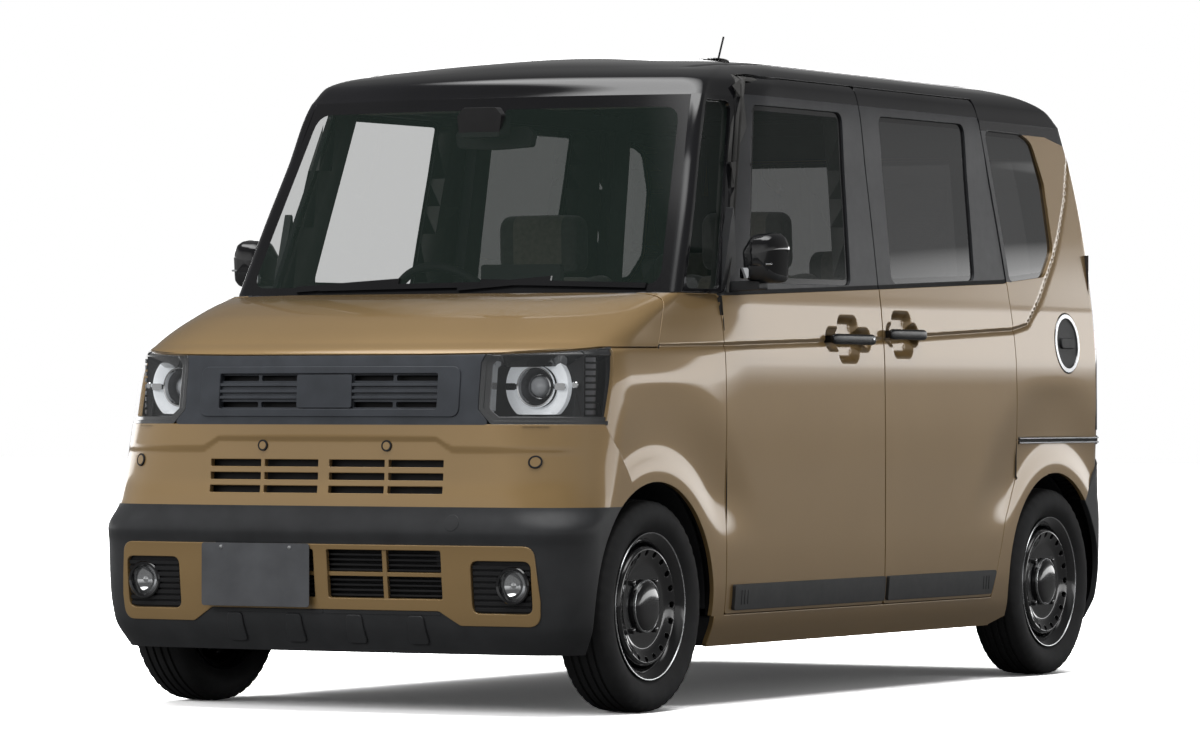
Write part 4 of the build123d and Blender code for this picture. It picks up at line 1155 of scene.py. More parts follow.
bumperForm = {
    "fold": [(0, 719), (330, 719), (380, 691), (900, 686)],  # x and z
    "foldDepth": 3.5,
    "slotX": [(15, 184), (192, 355)],
    "slotRows": [(572, 594), (606, 628), (640, 662)],
    "blanks": (188, 697, 10),
    "sensors": (601, 657, 12),
    "openings": {"intake": (18, 360, 300, 430), "fog": (440, 615, 265, 405)},
    "insert": [(-10, 272), (345, 272), (405, 235), (628, 235), (632, 300), (620, 441), (-10, 441)],
    "insertCorners": [0, 20, 20, 40, 10, 30, 0],
    "skidRibs": (92, 275),
    "plate": (-358, -28, 277, 442),
}


def bumperDepth(x, _, z):
    f = bumperForm
    step = smoothStep((lineAt(f["fold"], np.abs(x)) - z) / 9) * smoothStep((z - 552) / 60)
    return -f["foldDepth"] * step * (1 - smoothStep((np.abs(x) - 640) / 80))


def bumperSkin():
    f = bumperForm
    x, z, r = f["sensors"]
    sheet = wrapSheet(lowerRows, spread(0, (1.0, 66), (2.0, 40), (2.5, 16)), spread(4.9, (6, 22), (7.25, 36)))
    slots = [("front", roundRect(*across, *up, 4, 3), False) for up in f["slotRows"] for across in f["slotX"]]
    edge = [(-1900, 540.3), (-1900, 751)] + bodyLines["bumper"][:-1] + [(-1314, 540.3)]
    cuts = [("side", edge), frontArch] + slots + [("front", circle(x, z, r + 3, 24), False)]
    return skin(raised(sheet, bumperDepth), cuts, 16, 2.0)


onMiddle(bumperSkin(), "bumperSkin", paint, "body", ["front_bumper"])
innerCopy("front_bumper", darkPlastic, "body", 5)


def claddingSkin():
    f = bumperForm
    levels = spread(0, (1, 10), (3, 22), (4, 8), (5, 12))
    sheet = wrapSheet(lowerRows, spread(0, (1.0, 50), (2.0, 30), (2.4, 10)), levels)
    opening = softened(f["insert"], f["insertCorners"])
    cuts = [("side", rectangle(-1900, -1303, 162, 540)), frontArch, ("front", opening, False)]
    return skin(sheet, cuts, 16, 3.0)


onMiddle(claddingSkin(), "claddingSkin", claddingPlastic, "body", ["front_cladding"])
innerCopy("front_cladding", darkPlastic, "body", 5)


def skidRibs():
    bm = None
    for x in bumperForm["skidRibs"]:
        points = softened([(x - 26, 186), (x + 26, 186), (x + 20, 256), (x - 20, 256)], 8)
        bm = frontPiece(points, offset=6, depth=10, radius=3, step=10, bm=bm)
    lip = softened([(2, 262), (350, 262), (338, 270), (2, 270)], 3)
    return frontPiece(lip, offset=1.5, depth=4, bm=bm)


pair(skidRibs, "skidRib", claddingPlastic, "body")


def insertSkin():
    f = bumperForm
    # drawn in a little at its lower and upper edges
    inner = [(x, z + (2 if z < 300 else -2 if z > 400 else 0)) for x, z in f["insert"]]
    cuts = [("front", softened(inner, f["insertCorners"]))]
    cuts += [("front", roundRect(*f["openings"][name], corner), False) for name,
             corner in (("intake", 8), ("fog", 24))]
    return skin(frontPatch(np.linspace(0, 632, 90), np.linspace(234, 443, 36), 4.0), cuts, 14, 2.5)


onMiddle(insertSkin(), "insertSkin", paint, "body", ["bumper_insert"])


def roofDepth(x, y, _):
    # a shallow ditch along each side of the roof, and two long beads
    x = np.abs(x)
    edge = np.interp(y, [-700, -500, 1200, 1500], [470, 512, 512, 440])
    along = smoothStep((y + 620) / 80) * (1 - smoothStep((y - 1320) / 80))
    out = -3.5 * np.exp(-((x - edge) / 9)**2) * along
    beadEnds = smoothStep((y + 300) / 120) * (1 - smoothStep((y - 1100) / 120))
    return out - 2.2 * np.exp(-((x - 250) / 16)**2) * beadEnds


print("roof")


def roofSkin():
    stations = spread(0, (1.0, 30), (2.0, 16), (3.0, 30), (4.0, 80), (5.0, 24), (6.0, 24))
    levels = spread(0, (1, 8), (2, 10), (3, 16), (4, 26), (5, 26), (6, 10))
    opening = [(-3000, 1600), (-565, 1640), (-522, 1704.5), (937, 1704.5), (945, 1640), (3000, 1600)]
    opening += [(3000, 1500), (-3000, 1500)]

    def tailgateOpening(bm):
        cutAt(bm, 1, 1445)
        cutAt(bm, 0, 568)
        dropWhere(bm, lambda c: c.y > 1445 and c.x < 568)

    sheet = raised(wrapSheet(roofRows, stations, levels), roofDepth)
    return skin(sheet, [("side", opening, False)], marks=tailgateOpening)


onMiddle(roofSkin(), "roofSkin", blackPaint, "body", ["roof_panel"])


def pillarSkin():
    stations = spread(0.9, (1.0, 10), (2.0, 16), (3.0, 50), (3.1, 12))
    sheet = wrapSheet(upperRows[:5], stations, spread(0, (1, 24), (2, 20), (3, 24), (3.2, 2)))
    screen = [(-1, 1000), (664, 1000), (664, 1100), (590, 1640), (590, 1700), (-1, 1700)]
    cuts = [("side", [(-1200, 1100.3), (-774.5, 1105.5), (-564.5, 1642), (-1200, 1642)]),
            ("side", windows["corner"], False), ("front", screen, False)]
    return skin(sheet, cuts)


pair(pillarSkin, "pillarSkin", blackPaint, "body", over=["roof_panel"])
innerCopy("roof_panel", trimPlastic, "body", 5)

print("rear end")
gateForm = {
    "outline": [(-10, 653), (606, 653), (606, 1262), (563, 1640), (-10, 1640)],
    "window": [(-600, 1110), (520, 1110), (470, 1560), (-550, 1560)],
    "recess": (0, 870, 250, 100, 9.0),  # x, z, half width, half height and depth
}
gateWindow = softened(gateForm["window"], 30)


def gateDepth(x, _, z):
    cx, cz, halfX, halfZ, depth = gateForm["recess"]
    plate = -depth * smoothStep(-roundedBox(x - cx, z - cz, halfX, halfZ, 30) / 26)
    crease = -2.5 * np.exp(-((z - 1050) / 7)**2) * smoothStep((600 - np.abs(x)) / 40)
    return plate + crease


def tailgateSkin():
    levels = spread(5, (7, 34), (9, 30), (13, 36), (14, 20), (15, 16), (16, 20))
    sheet = wrapSheet(lowerRows + upperRows[1:4], spread(4.6, (5.0, 10), (6.0, 60)), levels)
    return skin(raised(sheet, gateDepth), [("front", gateForm["outline"]), ("front", gateWindow, False)], 14)


onMiddle(tailgateSkin(), "tailgateSkin", paint, "gate", ["tailgate"])


def gateTopSkin():
    sheet = wrapSheet(roofRows, spread(4.0, (5.0, 30), (6.0, 40)), spread(0, (1, 20), (2, 20)))
    cuts = [("front", rectangle(-10, 563, 1640, 1900))]
    return skin(sheet, cuts, 14, marks=lambda bm: cutAt(bm, 1, 1450, True))


onMiddle(gateTopSkin(), "gateTopSkin", blackPaint, "gate", over=["tailgate"])
innerCopy("tailgate", trimPlastic, "gate", 5)


def rearBumperDepth(x, _, z):
    # a broad panel pressed 6 mm into the middle
    upright = smoothStep((z - 470) / 40) * (1 - smoothStep((z - 600) / 30))
    return -6 * upright * smoothStep((520 - np.abs(x)) / 60)


def rearBumperSkin():
    levels = spread(0, (1, 12), (3, 24), (5, 20), (6, 26))
    sheet = wrapSheet(lowerRows, spread(3.9, (4.0, 8), (5.0, 30), (6.0, 40)), levels)
    cuts = [("side", [(1440, 162)] + bodyLines["rearBumper"] + [(1800, 162)]), rearArch]
    return skin(raised(sheet, rearBumperDepth), cuts, 16, 3.0)


onMiddle(rearBumperSkin(), "rearBumperSkin", claddingPlastic, "body", ["rear_bumper"])
innerCopy("rear_bumper", darkPlastic, "body", 5)


print("glass")
glassForm = {"depth": -9.0, "wall": 5.0, "border": 16.0, "overlap": -1.5, "screenBorder": 26.0,
             "screenTop": 34.0, "screenFoot": 22.0}


def insetOutline(points, amount):
    # an outline moved in towards its middle
    a = np.array(points, float)
    out = []
    for k in range(len(a)):
        p, q, r = a[k - 1], a[k], a[(k + 1) % len(a)]
        n = np.array([-(r - p)[1], (r - p)[0]])
        n = n / max(np.linalg.norm(n), 1e-6)
        out.append(q + n * amount)
    area = 0.5 * sum(a[k - 1][0] * a[k][1] - a[k][0] * a[k - 1][1] for k in range(len(a)))
    if area < 0:
        out = [2 * a[k] - out[k] for k in range(len(a))]
    return [tuple(p) for p in out]


def blackBorder(view, edge):
    # everything outside an outline gets the pane's second material
    a, b = views[view]

    def mark(bm):
        cut(bm, view, edge, drop=False)
        zone(bm, lambda c: not inside(np.array([[c[a], c[b]]]), np.array(edge))[0], 1)
    return mark


def sidePane(window):
    def build():
        f = glassForm
        sheet = pushed(halfWidths(*bounded(window, 16, 2)), f["depth"])
        marks = blackBorder("side", insetOutline(window, f["border"]))
        return skin(sheet, [("side", insetOutline(window, f["overlap"]))], f["wall"], 0.8, False, marks)
    return build


pair(sidePane(windows["front"]), "frontDoorGlass", [clearGlass, glossPlastic], "door_SIDE",
     ["door_glass_SIDE"])
for name, replaced in (("slide", ["side_glass"]), ("quarter", [])):
    for side, mirror in (("left", None), ("right", "flip")):
        obj = toObject(sidePane(windows[name])(), f"{name}Glass.{side}", [privacyGlass, glossPlastic], mirror)
        place(obj, "body", replaced if side == "left" else ())


def cornerPane():
    f = glassForm
    sheet = wrapSheet(upperRows[:4], spread(0.9, (1.0, 8), (2.0, 12), (3.0, 40)),
            spread(0, (1, 16), (2, 14), (3, 16)))
    cuts = [("side", insetOutline(windows["corner"], f["overlap"]))]
    return skin(pushed(sheet, f["depth"]), cuts, f["wall"], 0.8, False, lambda bm: cutAt(bm, 0, 600, True))


pair(cornerPane, "cornerGlass", clearGlass, "body")


def windscreenPane():
    f = glassForm
    b, low, high = f["screenBorder"], 1100 + f["screenFoot"], 1640 - f["screenTop"]
    # the clear part leaves a dark patch for the camera behind the mirror
    clear = [(-10, low), (661 - b, low), (592 - b, high), (70, high), (52, 1560), (-10, 1560)]
    marks = blackBorder("front", softened(clear, [0, 40, 50, 10, 16, 0]))
    edge = [(-10, 1100.4), (663.6, 1100.4), (589.6, 1639.6), (-10, 1639.6)]
    sheet = wrapSheet(upperRows[:4], spread(0, (1.0, 60)), spread(0, (1, 24), (2, 20), (3, 22)))
    return skin(sheet, [("front", edge)], f["wall"], 1.0, marks=marks)


onMiddle(windscreenPane(), "windscreenPane", [clearGlass, glossPlastic], "body", ["windscreen"])


def tailgatePane():
    sheet = wrapSheet(upperRows[:4], spread(4.9, (5.0, 6), (6.0, 50)), spread(0, (1, 20), (2, 18), (3, 20)))
    marks = blackBorder("front", insetOutline(gateWindow, 18))
    cuts = [("front", insetOutline(gateWindow, glassForm["overlap"]))]
    return skin(pushed(sheet, -3), cuts, glassForm["wall"], 0.8, marks=marks)


onMiddle(tailgatePane(), "tailgatePane", [privacyGlass, glossPlastic], "gate", ["tailgate_glass"])

print("lamps and grille")
lampForm = {
    "outline": [(447, 791), (485, 752), (900, 752), (900, 958), (468, 958), (447, 911)],
    "corners": [14, 14, 0, 0, 16, 14],
    "rim": 9.0,
    "centre": (543, -1508, 850),
    "aim": (0.06, -1, 0.0),
    "ring": (54, 92, 72),  # inner and outer radius, and the height where it is cut flat
    "lens": 28,
}


lampEdge = softened(lampForm["outline"], lampForm["corners"])
underBonnet = shifted(bodyLines["bonnet"][:3], 0, -5)[::-1]


def lampPart(offset, depth, radius, *cuts):
    # a sheet that follows the nose round its corner, under the bonnet's edge
    def build():
        side = [(-1900, 740), (-1456.5, 740), (-1400, 953)] + underBonnet
        sheet = wrapSheet(lowerRows, spread(0.5, (1.0, 20), (2.0, 44), (2.3, 10)),
                spread(5.9, (7, 22), (8, 12), (9, 8)))
        return skin(pushed(sheet, offset), [("side", side)] + [("front", *each) for each in cuts], depth,
                    radius)
    return build


def lampPlate():
    bm = bmesh.new()
    addPrism(bm, roundRect(449, 668, 758, 944, 10, 4), 1, -1482, -1476)
    return bm


def flatRing(inner, outer, half, depth):
    # a ring round the lamp's axis, cut flat at its top and bottom, cone-shaped inwards
    bm = bmesh.new()
    cx, cy, cz = lampForm["centre"]
    rings = []
    for r, back in ((inner, depth), (inner, depth * 0.55), (inner + 6, depth * 0.3), (outer - 8, 0),
                    (outer, 2), (outer, depth)):
        turns = [2 * math.pi * k / 72 for k in range(72)]
        rings.append([(cx + r * math.cos(t), cy + back,
                cz + min(max(r * math.sin(t), -half), half)) for t in turns])
    addLoft(bm, rings + [rings[0]], caps=False)
    return bm


def lampInside():
    # ring, bowl with its projector lens, and the bright cross pieces
    f = lampForm
    cx, cy, cz = f["centre"]
    inner, outer, flat = f["ring"]
    aim = f["aim"]
    bm = flatRing(inner, outer, flat, 22)
    addLathe(bm, [(4, inner + 1), (9, inner - 1), (8, inner - 5), (2, inner - 7), (-2, inner - 8)],
             f["centre"], aim, 64, 1)
    bowl = [(-2, inner - 8), (-16, inner - 14), (-26, 34), (-30, f["lens"] + 2), (-30, 0)]
    addLathe(bm, bowl, f["centre"], aim, 64, 2)
    addLathe(bm, [(-34, f["lens"]), (-20, f["lens"] - 1), (-10, 22), (-4, 13), (-2, 0)], f["centre"], aim, 48,
             3)
    addLathe(bm, [(-31, f["lens"] + 5), (-18, f["lens"] + 4), (-17, f["lens"] + 1), (-31, f["lens"] + 1)],
             f["centre"], aim, 48, 1)
    for side in (-1, 1):
        x0, x1 = cx + side * (inner + 4), cx + side * (outer - 4)
        addPrism(bm, roundRect(min(x0, x1), max(x0, x1), cz - 9, cz + 9, 5, 3), 1, cy - 8, cy + 8, 1)
    return bm


def lampStrip():
    # upright ribs and a bright cylinder towards the lamp's outer end
    bm = bmesh.new()
    cx, cy, cz = lampForm["centre"]
    addLathe(bm, [(-24, 9), (10, 9), (12, 7), (12, 0)], (cx + 106, cy + 18, cz + 4), (0.25, -1, 0), 24, 1,
             False)
    for k in range(9):
        z = 778 + k * 17
        addPrism(bm, [(666, -1470), (672, -1480), (684, -1468), (686, -1452)], 2, z, z + 11, 0)
    return bm


pair(lampPart(0.0, 12, 1.5, [lampEdge]), "headlampLens", lampGlass, "body", ["headlamp_SIDE"])
rimHole = insetOutline(lampEdge, lampForm["rim"])
pair(lampPart(-1.2, 60, 1.5, [lampEdge], [rimHole, False]), "headlampRim", glossPlastic, "body")
# the housing's wall round the corner, the dark plate behind the ring, the mask with cut corners
pair(lampPart(-44, 3, 1.0, [rectangle(646, 900, 740, 960)]), "headlampBack", darkPlastic, "body")
solidPair(lampPlate, "headlampPlate", darkPlastic, "body", bevel=1.5)
maskHole = [(470, 792), (498, 770), (900, 770), (900, 934), (492, 934), (470, 908)]
mask = lampPart(-7, 46, 3, [insetOutline(lampEdge, 3)], [maskHole, False])
pair(mask, "headlampBezel", glossPlastic, "body")
solidPair(lampInside, "headlampRing", [frosted, chrome, steelMetal, lampCore], "body")
solidPair(lampStrip, "headlampRibs", [steelMetal, chrome], "body")

grilleForm = {
    "base": [(-10, 751.4), (481, 751.4), (443.5, 790), (443.5, 912), (463, 960), (-10, 960)],
    "corners": [0, 10, 12, 12, 10, 0],
    "panel": (391, 774, 900),
    "bay": (333, 790, 886),
    "slots": [(84, 201), (209, 331)],
    "slotRows": (803, 872),
    "slotHalf": 8,
    "bars": (822, 838, 855),
    "block": 83,
}


def grilleBase():
    f = grilleForm
    half, z0, z1 = f["panel"]
    cuts = [("front", softened(f["base"], f["corners"])),
            ("side", [(-1900, 740), (-1200, 740)] + underBonnet),
            ("front", roundRect(-half, half, z0, z1, 22), False)]
    return skin(frontPatch(np.linspace(0, 482, 60), np.linspace(750, 944, 34)), cuts, 12, 1.5)


def grilleFace():
    # the raised panel, its sunk bay with slots, the bars and the bare middle block
    f = grilleForm
    half, z0, z1 = f["panel"]
    bayHalf, b0, b1 = f["bay"]

    def sheet(x1, low, high, offset):
        across, up = int(x1 / 8) + 1, max(3, int((high - low) / 6))
        return frontPatch(np.linspace(0, x1, across), np.linspace(low, high, up), offset)

    edge, bay = roundRect(-half, half, z0, z1, 22), roundRect(-bayHalf, bayHalf, b0, b1, 8)
    whole = skin(sheet(half + 1, z0 - 1, z1 + 1, 4), [("front", edge), ("front", bay, False)], 12, 2.5)
    slots = [("front", roundRect(a, b, z - f["slotHalf"], z + f["slotHalf"], 5, 3), False)
             for z in f["slotRows"] for a, b in f["slots"]]
    skin(sheet(bayHalf + 3, b0 - 2, b1 + 2, -7), slots, 10, 1.0, bm=whole)
    for z in f["bars"]:
        skin(sheet(bayHalf + 1, z - 3, z + 3, 1.5), (), 8, 0.8, bm=whole)
    block = roundRect(-f["block"] + 1, f["block"] - 1, b0 + 6, b1 - 6, 5, 3)
    return skin(sheet(f["block"], b0 + 5, b1 - 5, 3), [("front", block)], 10, 1.5, bm=whole)


def frontShadeBacking():
    # painted shade: dark sheets behind the slots stand in for the shade inside the nose, so that no gap shows
    # the floor
    return skin(frontPatch(np.linspace(0, 400, 30), np.linspace(545, 940, 30), -34), (), 3, 1)


onMiddle(grilleBase(), "grilleBase", grillePlastic, "body", ["grille"])
onMiddle(grilleFace(), "grilleFace", grillePlastic, "body")
# painted shade: the dark sheet behind the slots
onMiddle(frontShadeBacking(), "frontShadeBacking", darkPlastic, "body")

print("bumper details")
fogForm = {"centre": (559, 341), "radius": 35, "face": -1659.0}


def intakeLouvres():
    x0, x1, z0, z1 = bumperForm["openings"]["intake"]
    bm = None
    for k in range(9):
        z = z0 + 8 + k * (z1 - z0 - 12) / 9
        bm = frontPiece(rectangle(x0 - 2, x1 + 2, z, z + 4), (), -12, 16, 0.8, 20, bm)
    # painted shade: a dark plate behind the louvres stands in for the shade inside the intake
    return frontPiece(rectangle(x0 - 6, x1 + 6, z0 - 6, z1 + 6), (), -34, 2, step=30, bm=bm)


def intakeBars():
    x0, x1, z0, z1 = bumperForm["openings"]["intake"]
    middle, z = (x0 + x1) / 2, (z0 + z1) / 2
    bm = frontPiece(rectangle(middle - 5, middle + 5, z0 - 3, z1 + 3), (), -3, 12, 1.5, 10)
    return frontPiece(rectangle(x0 - 3, x1 + 3, z - 4, z + 4), (), -4, 12, 1.5, 10, bm)


def fogBezel():
    x0, x1, z0, z1 = bumperForm["openings"]["fog"]
    cx, cz = fogForm["centre"]
    r = fogForm["radius"]
    bm = frontPiece(roundRect(x0 - 1, x1 + 1, z0 - 1, z1 + 1, 24), [circle(cx, cz, r + 14)], -8, 10, 1.5, 12)
    for k in range(8):
        z = z0 + 9 + k * (z1 - z0 - 16) / 8
        frontPiece(roundRect(x0 + 7, x1 - 7, z, z + 8, 2, 2), [circle(cx, cz, r + 12)], -1, 8, 1.2, 12, bm)
    return bm


def fogTurned(*profiles):
    # profiles of (points, segments, material) turned about the lamp's axis
    bm = bmesh.new()
    x, z = fogForm["centre"]
    for profile, count, index in profiles:
        addLathe(bm, profile, (x, fogForm["face"], z), (0, -1, 0), count, index)
    return bm


def fogLamp():
    r = fogForm["radius"]
    shell = [(-26, r + 15), (4, r + 14), (7, r + 11), (5, r + 5), (-2, r + 1), (-14, r - 2)]
    bowl = [(-14, r - 2), (-24, r - 12), (-30, 8), (-31, 0)]
    return fogTurned((shell, 56, 0), (bowl, 56, 1), ([(-10, 9), (-4, 8), (-2, 0)], 24, 1))


def fogLens():
    r = fogForm["radius"]
    return fogTurned(([(-12, r), (-4, r), (1, r - 9), (4, r - 20), (5, 0)], 48, 0))


pair(intakeLouvres, "intakeLouvres", darkPlastic, "body")
pair(intakeBars, "intakeBars", paint, "body")
pair(fogBezel, "fogBezel", darkPlastic, "body")
solidPair(fogLamp, "fogLamp", [glossPlastic, chrome], "body")
for side in ("left", "right"):
    solid(fogLens(), "fogLens." + side, lampGlass, "body", ["fog_lamps"] if side == "left" else (),
          flip=side == "right", slotName="lamp")


def sensorDiscs():
    # a blank in the bumper and a parking sensor, each a disc in a ring
    bm = None
    for x, z, r in (bumperForm["blanks"], bumperForm["sensors"]):
        bm = frontPiece(circle(x, z, r, 28), (), 0.3, 6, 1.2, 6, bm)
        merged(bm, frontPiece(circle(x, z, r + 4, 28), [circle(x, z, r + 1, 28)], 0.8, 5, 0.8, 6), 1)
    return bm


pair(sensorDiscs, "sensors", [paint, darkPlastic], "body")
towCap = {"centre": (391, 500), "radius": 20}


def towDisc():
    x, z = towCap["centre"]
    return frontPiece(circle(x, z, towCap["radius"], 36), offset=1.2, depth=4, radius=1.5, step=8)


place(toObject(towDisc(), "towCap", claddingPlastic), "body")


def plateBlank(x0, x1, z0, z1, y, toFront):
    bm = bmesh.new()
    addPrism(bm, roundRect(x0, x1, z0, z1, 9), 1, y, y + 2.4)
    for x in (x0 + 60, x1 - 60):
        addLathe(bm, [(0, 6), (1.2, 5.6), (1.6, 0)], (x, y if toFront else y + 2.4, z1 - 11),
                 (0, -1 if toFront else 1, 0), 20, 1)
    return bm


x0, x1, z0, z1 = bumperForm["plate"]
solid(plateBlank(x0, x1, z0, z1, -1696.6, True), "frontPlate", [platePaint, silverTrim], "body", bevel=0.6)
solid(plateBlank(-165, 165, 792, 924, 1674.5, False), "rearPlate", [platePaint, silverTrim], "gate",
      bevel=0.6)


print("wheels")
wheelForm = {
    "place": 652.5,
    "halfRim": 65.0,
    "flange": 194.7,
    "ventCircle": 139.0,
    "ventRadius": 9.5,
    "vents": 20,
    "segments": 160,
    "treadHalf": 60.0,
    "grooves": (34, 12),  # on each side of the tread's middle
    "tyreRadius": 278.2,
}


def tyreProfile():
    # half a section from the bead over the side wall to the tread's middle, as (x, radius)
    side = [(50, 181), (56.5, 190), (59, 197), (66, 204), (73.5, 216), (76.5, 230), (77, 243), (74.5, 256),
            (69, 266.5), (64, 271.5)]
    tread = [(wheelForm["treadHalf"], 274)]
    top = wheelForm["tyreRadius"]
    for x in wheelForm["grooves"]:
        tread += [(x + 10, top - 1.2 - (x / 40)), (x + 4, top - 0.6 - (x / 50)), (x + 3.4, top - 7),
                  (x - 3.4, top - 7), (x - 4, top - 0.4 - (x / 60))]
    return side + tread + [(0, top)]


def wheelRing(x, radius, count):
    turns = [2 * math.pi * k / count for k in range(count)]
    return [(x, radius * math.cos(t), radius * math.sin(t)) for t in turns]


def tyreMesh():
    # tread blocks at the shoulder and fine ribs on the side wall are cut into every ring
    half = tyreProfile()
    count = 144
    bm = bmesh.new()
    rings = []
    for x, r in [(-x, r) for x, r in half][:-1] + half[::-1]:
        ring = wheelRing(x, r, count)
        if 56 < abs(x) < 72 and r > 262:
            ring[::3] = wheelRing(x, r - 3.2, count)[::3]
        elif 236 < r < 262 and abs(x) > 70:
            ring = [(a - math.copysign(0.6, x) if k % 6 < 3 else a, b, c) for k, (a, b, c) in enumerate(ring)]
        rings.append(ring)
    addLoft(bm, rings, caps=False)
    addLoft(bm, [wheelRing(x, 181, count) for x in (50, -50)], caps=False)
    bmesh.ops.remove_doubles(bm, verts=list(bm.verts), dist=0.01)
    return bm


def discSheet():
    # the wheel's pressed disc, with its ring of round holes
    f = wheelForm
    out, count = f["halfRim"], f["segments"]
    profile = [(-40, 160), (-16, 157), (-9, 152), (-8, 147), (-11, 139), (-16, 128), (-20, 118), (-22, 110),
               (-22, 60)]
    smooth = []
    for (x0, r0), (x1, r1) in zip(profile[:-1], profile[1:]):
        smooth += [(out + x0 + (x1 - x0) * t, r0 + (r1 - r0) * t) for t in (0, 1 / 3, 2 / 3)]
    smooth.append((out + profile[-1][0], profile[-1][1]))
    turns = np.linspace(0, -2 * math.pi, count + 1)
    bm = sheetMesh(np.array([np.column_stack([np.full(count + 1, x), r * np.cos(turns), r * np.sin(turns)])
                             for x, r in smooth[::-1]]))
    for x, y, z in wheelRing(0, f["ventCircle"], f["vents"]):
        cut(bm, "side", circle(y, z, f["ventRadius"], 20), False)
    bmesh.ops.remove_doubles(bm, verts=[v for v in bm.verts if v.is_boundary], dist=0.02)
    addFlange(bm, 9, 1.6, skipMiddle=False)
    return bm


def rimMesh():
    # barrel and lips in black, thin bright rings at the lip and round the cap, the domed cap
    out, flange = wheelForm["halfRim"], wheelForm["flange"]
    barrel = [(-out, flange - 2), (-out + 2, flange), (-out + 7, flange), (-out + 10, 178), (-out + 30, 176),
              (-out + 42, 163),
              (out - 60, 163), (out - 44, 176), (out - 10, 178), (out - 7, flange), (out - 2, flange), (out,
                      flange - 2),
              (out - 1, flange - 6), (out - 8, 178), (out - 16, 168), (out - 30, 161), (out - 44,
                      158), (-out + 44, 158),
              (-out + 12, 170), (-out + 2, 186), (-out, flange - 2)]
    lip = [(out - 0.6, flange - 5), (out + 0.8, flange - 4), (out + 1.0, flange - 2.2),
           (out - 0.4, flange - 1.4)]
    cap = [(out - 24, 66), (out - 10, 66), (out - 4, 60), (out - 1, 50), (out + 1, 36), (out + 2, 18),
           (out + 2, 0)]
    capRing = [(out - 14, 70), (out - 9, 69), (out - 8.4, 67), (out - 10, 65.6)]
    nut = [(out - 24, 9), (out - 15, 8.5), (out - 13.5, 6), (out - 13.5, 0)]
    bm = bmesh.new()
    for profile, count, index in ((barrel, 128, 0), (lip, 128, 1), (cap, 96, 0), (capRing, 96, 1)):
        addLathe(bm, profile, (0, 0, 0), (1, 0, 0), count, index)
    for k in range(4):
        t = math.pi / 4 + math.pi * k / 2
        addLathe(bm, nut, (0, 88 * math.cos(t), 88 * math.sin(t)), (1, 0, 0), 18, 0)
    return bm


def wheelCopies():
    tyre = solid(tyreMesh(), "tyre", tyreRubber, "body")
    rim = solid(rimMesh(), "rim", [wheelPaint, silverTrim], "body", smooth=45)
    disc = place(toObject(discSheet(), "disc", wheelPaint), "body")
    for end, axle in (("front", frontAxle), ("rear", rearAxle)):
        for side, sign in (("left", 1), ("right", -1)):
            corner = f"{end}_{side}"
            spot = Matrix.Translation((sign * wheelForm["place"] * mm, axle * mm, tyreZ * mm))
            turn = Matrix.Identity(4) if sign > 0 else Matrix.Rotation(math.pi, 4, "Z")
            for source, replaced, slotName in ((tyre, ["tyre_" + corner], "tyre"),
                                               (rim, ["wheel_" + corner], "wheel_paint"), (disc, [],
                                               "wheel_paint")):
                obj = linked(f"{source.name}.{end}.{side}", source.data)
                obj.matrix_world = spot @ turn
                place(obj, "roadwheel_" + corner, replaced)
    for source in (tyre, rim, disc):
        bpy.data.objects.remove(source)


wheelCopies()

print("mirrors and handles")
mirrorForm = {
    "shell": [(753, 1131), (745, 1216), (773, 1261), (841, 1267), (859, 1226), (853, 1130)],  # x and z
    "corners": [20, 26, 34, 30, 34, 20],
    "depths": [(-684, 0.93), (-687, 0.985), (-700, 1.0), (-722, 0.99), (-744, 0.94), (-762, 0.84),
               (-773, 0.68), (-779, 0.42), (-780, 0.12)],
    "split": 1168,  # gloss above this height, grained below
}


def mirrorRing(size):
    # the shell's outline in (x, z), drawn in towards its middle
    points = np.array(softened(mirrorForm["shell"], mirrorForm["corners"], 7))
    return points.mean(0) + (points - points.mean(0)) * size


def mirrorShell():
    bm = bmesh.new()
    addLoft(bm, [[(x, y, z) for x, z in mirrorRing(size)] for y, size in mirrorForm["depths"]])
    zone(bm, lambda c: c.z < mirrorForm["split"], 1)
    return bm


def mirrorFace():
    bm = bmesh.new()
    addPrism(bm, mirrorRing(0.86), 1, -685.5, -682.5)
    return bm


def mirrorFoot():
    # neck, the sail in front of the glass and the foot; the small extra mirror is in the trim
    bm = bmesh.new()
    addPrism(bm, softened([(704, 1108), (800, 1112), (800, 1133), (760, 1136), (712, 1134)], 6, 3), 1, -752,
             -702)
    addPrism(bm, softened([(-790, 1106), (-700, 1106), (-676, 1128), (-700, 1150), (-716, 1330),
            (-722, 1336)], 5, 3), 0, 684, 706)
    return bm


def mirrorTrim():
    bm = bmesh.new()
    addPrism(bm, roundRect(756, 784, 1140, 1170, 8, 4), 1, -783, -770, 0)
    addPrism(bm, roundRect(815, 848, 1176, 1181, 2, 2), 1, -776, -768, 1)
    return bm


solidPair(mirrorShell, "mirrorShell", [glossPlastic, claddingPlastic], "door_SIDE", ["door_mirror_SIDE"],
          smooth=60)
solidPair(mirrorFace, "mirrorFace", mirrorGlass, "door_SIDE", bevel=0.8)
solidPair(mirrorFoot, "mirrorFoot", claddingPlastic, "door_SIDE", bevel=2.0)
solidPair(mirrorTrim, "mirrorTrim", [mirrorGlass, silverTrim], "door_SIDE", bevel=1.0)

handleForm = {"front": (-207, 59, 986), "slide": (157, 389, 1003), "x": (739, 757.5), "half": 15,
              "floor": 716}


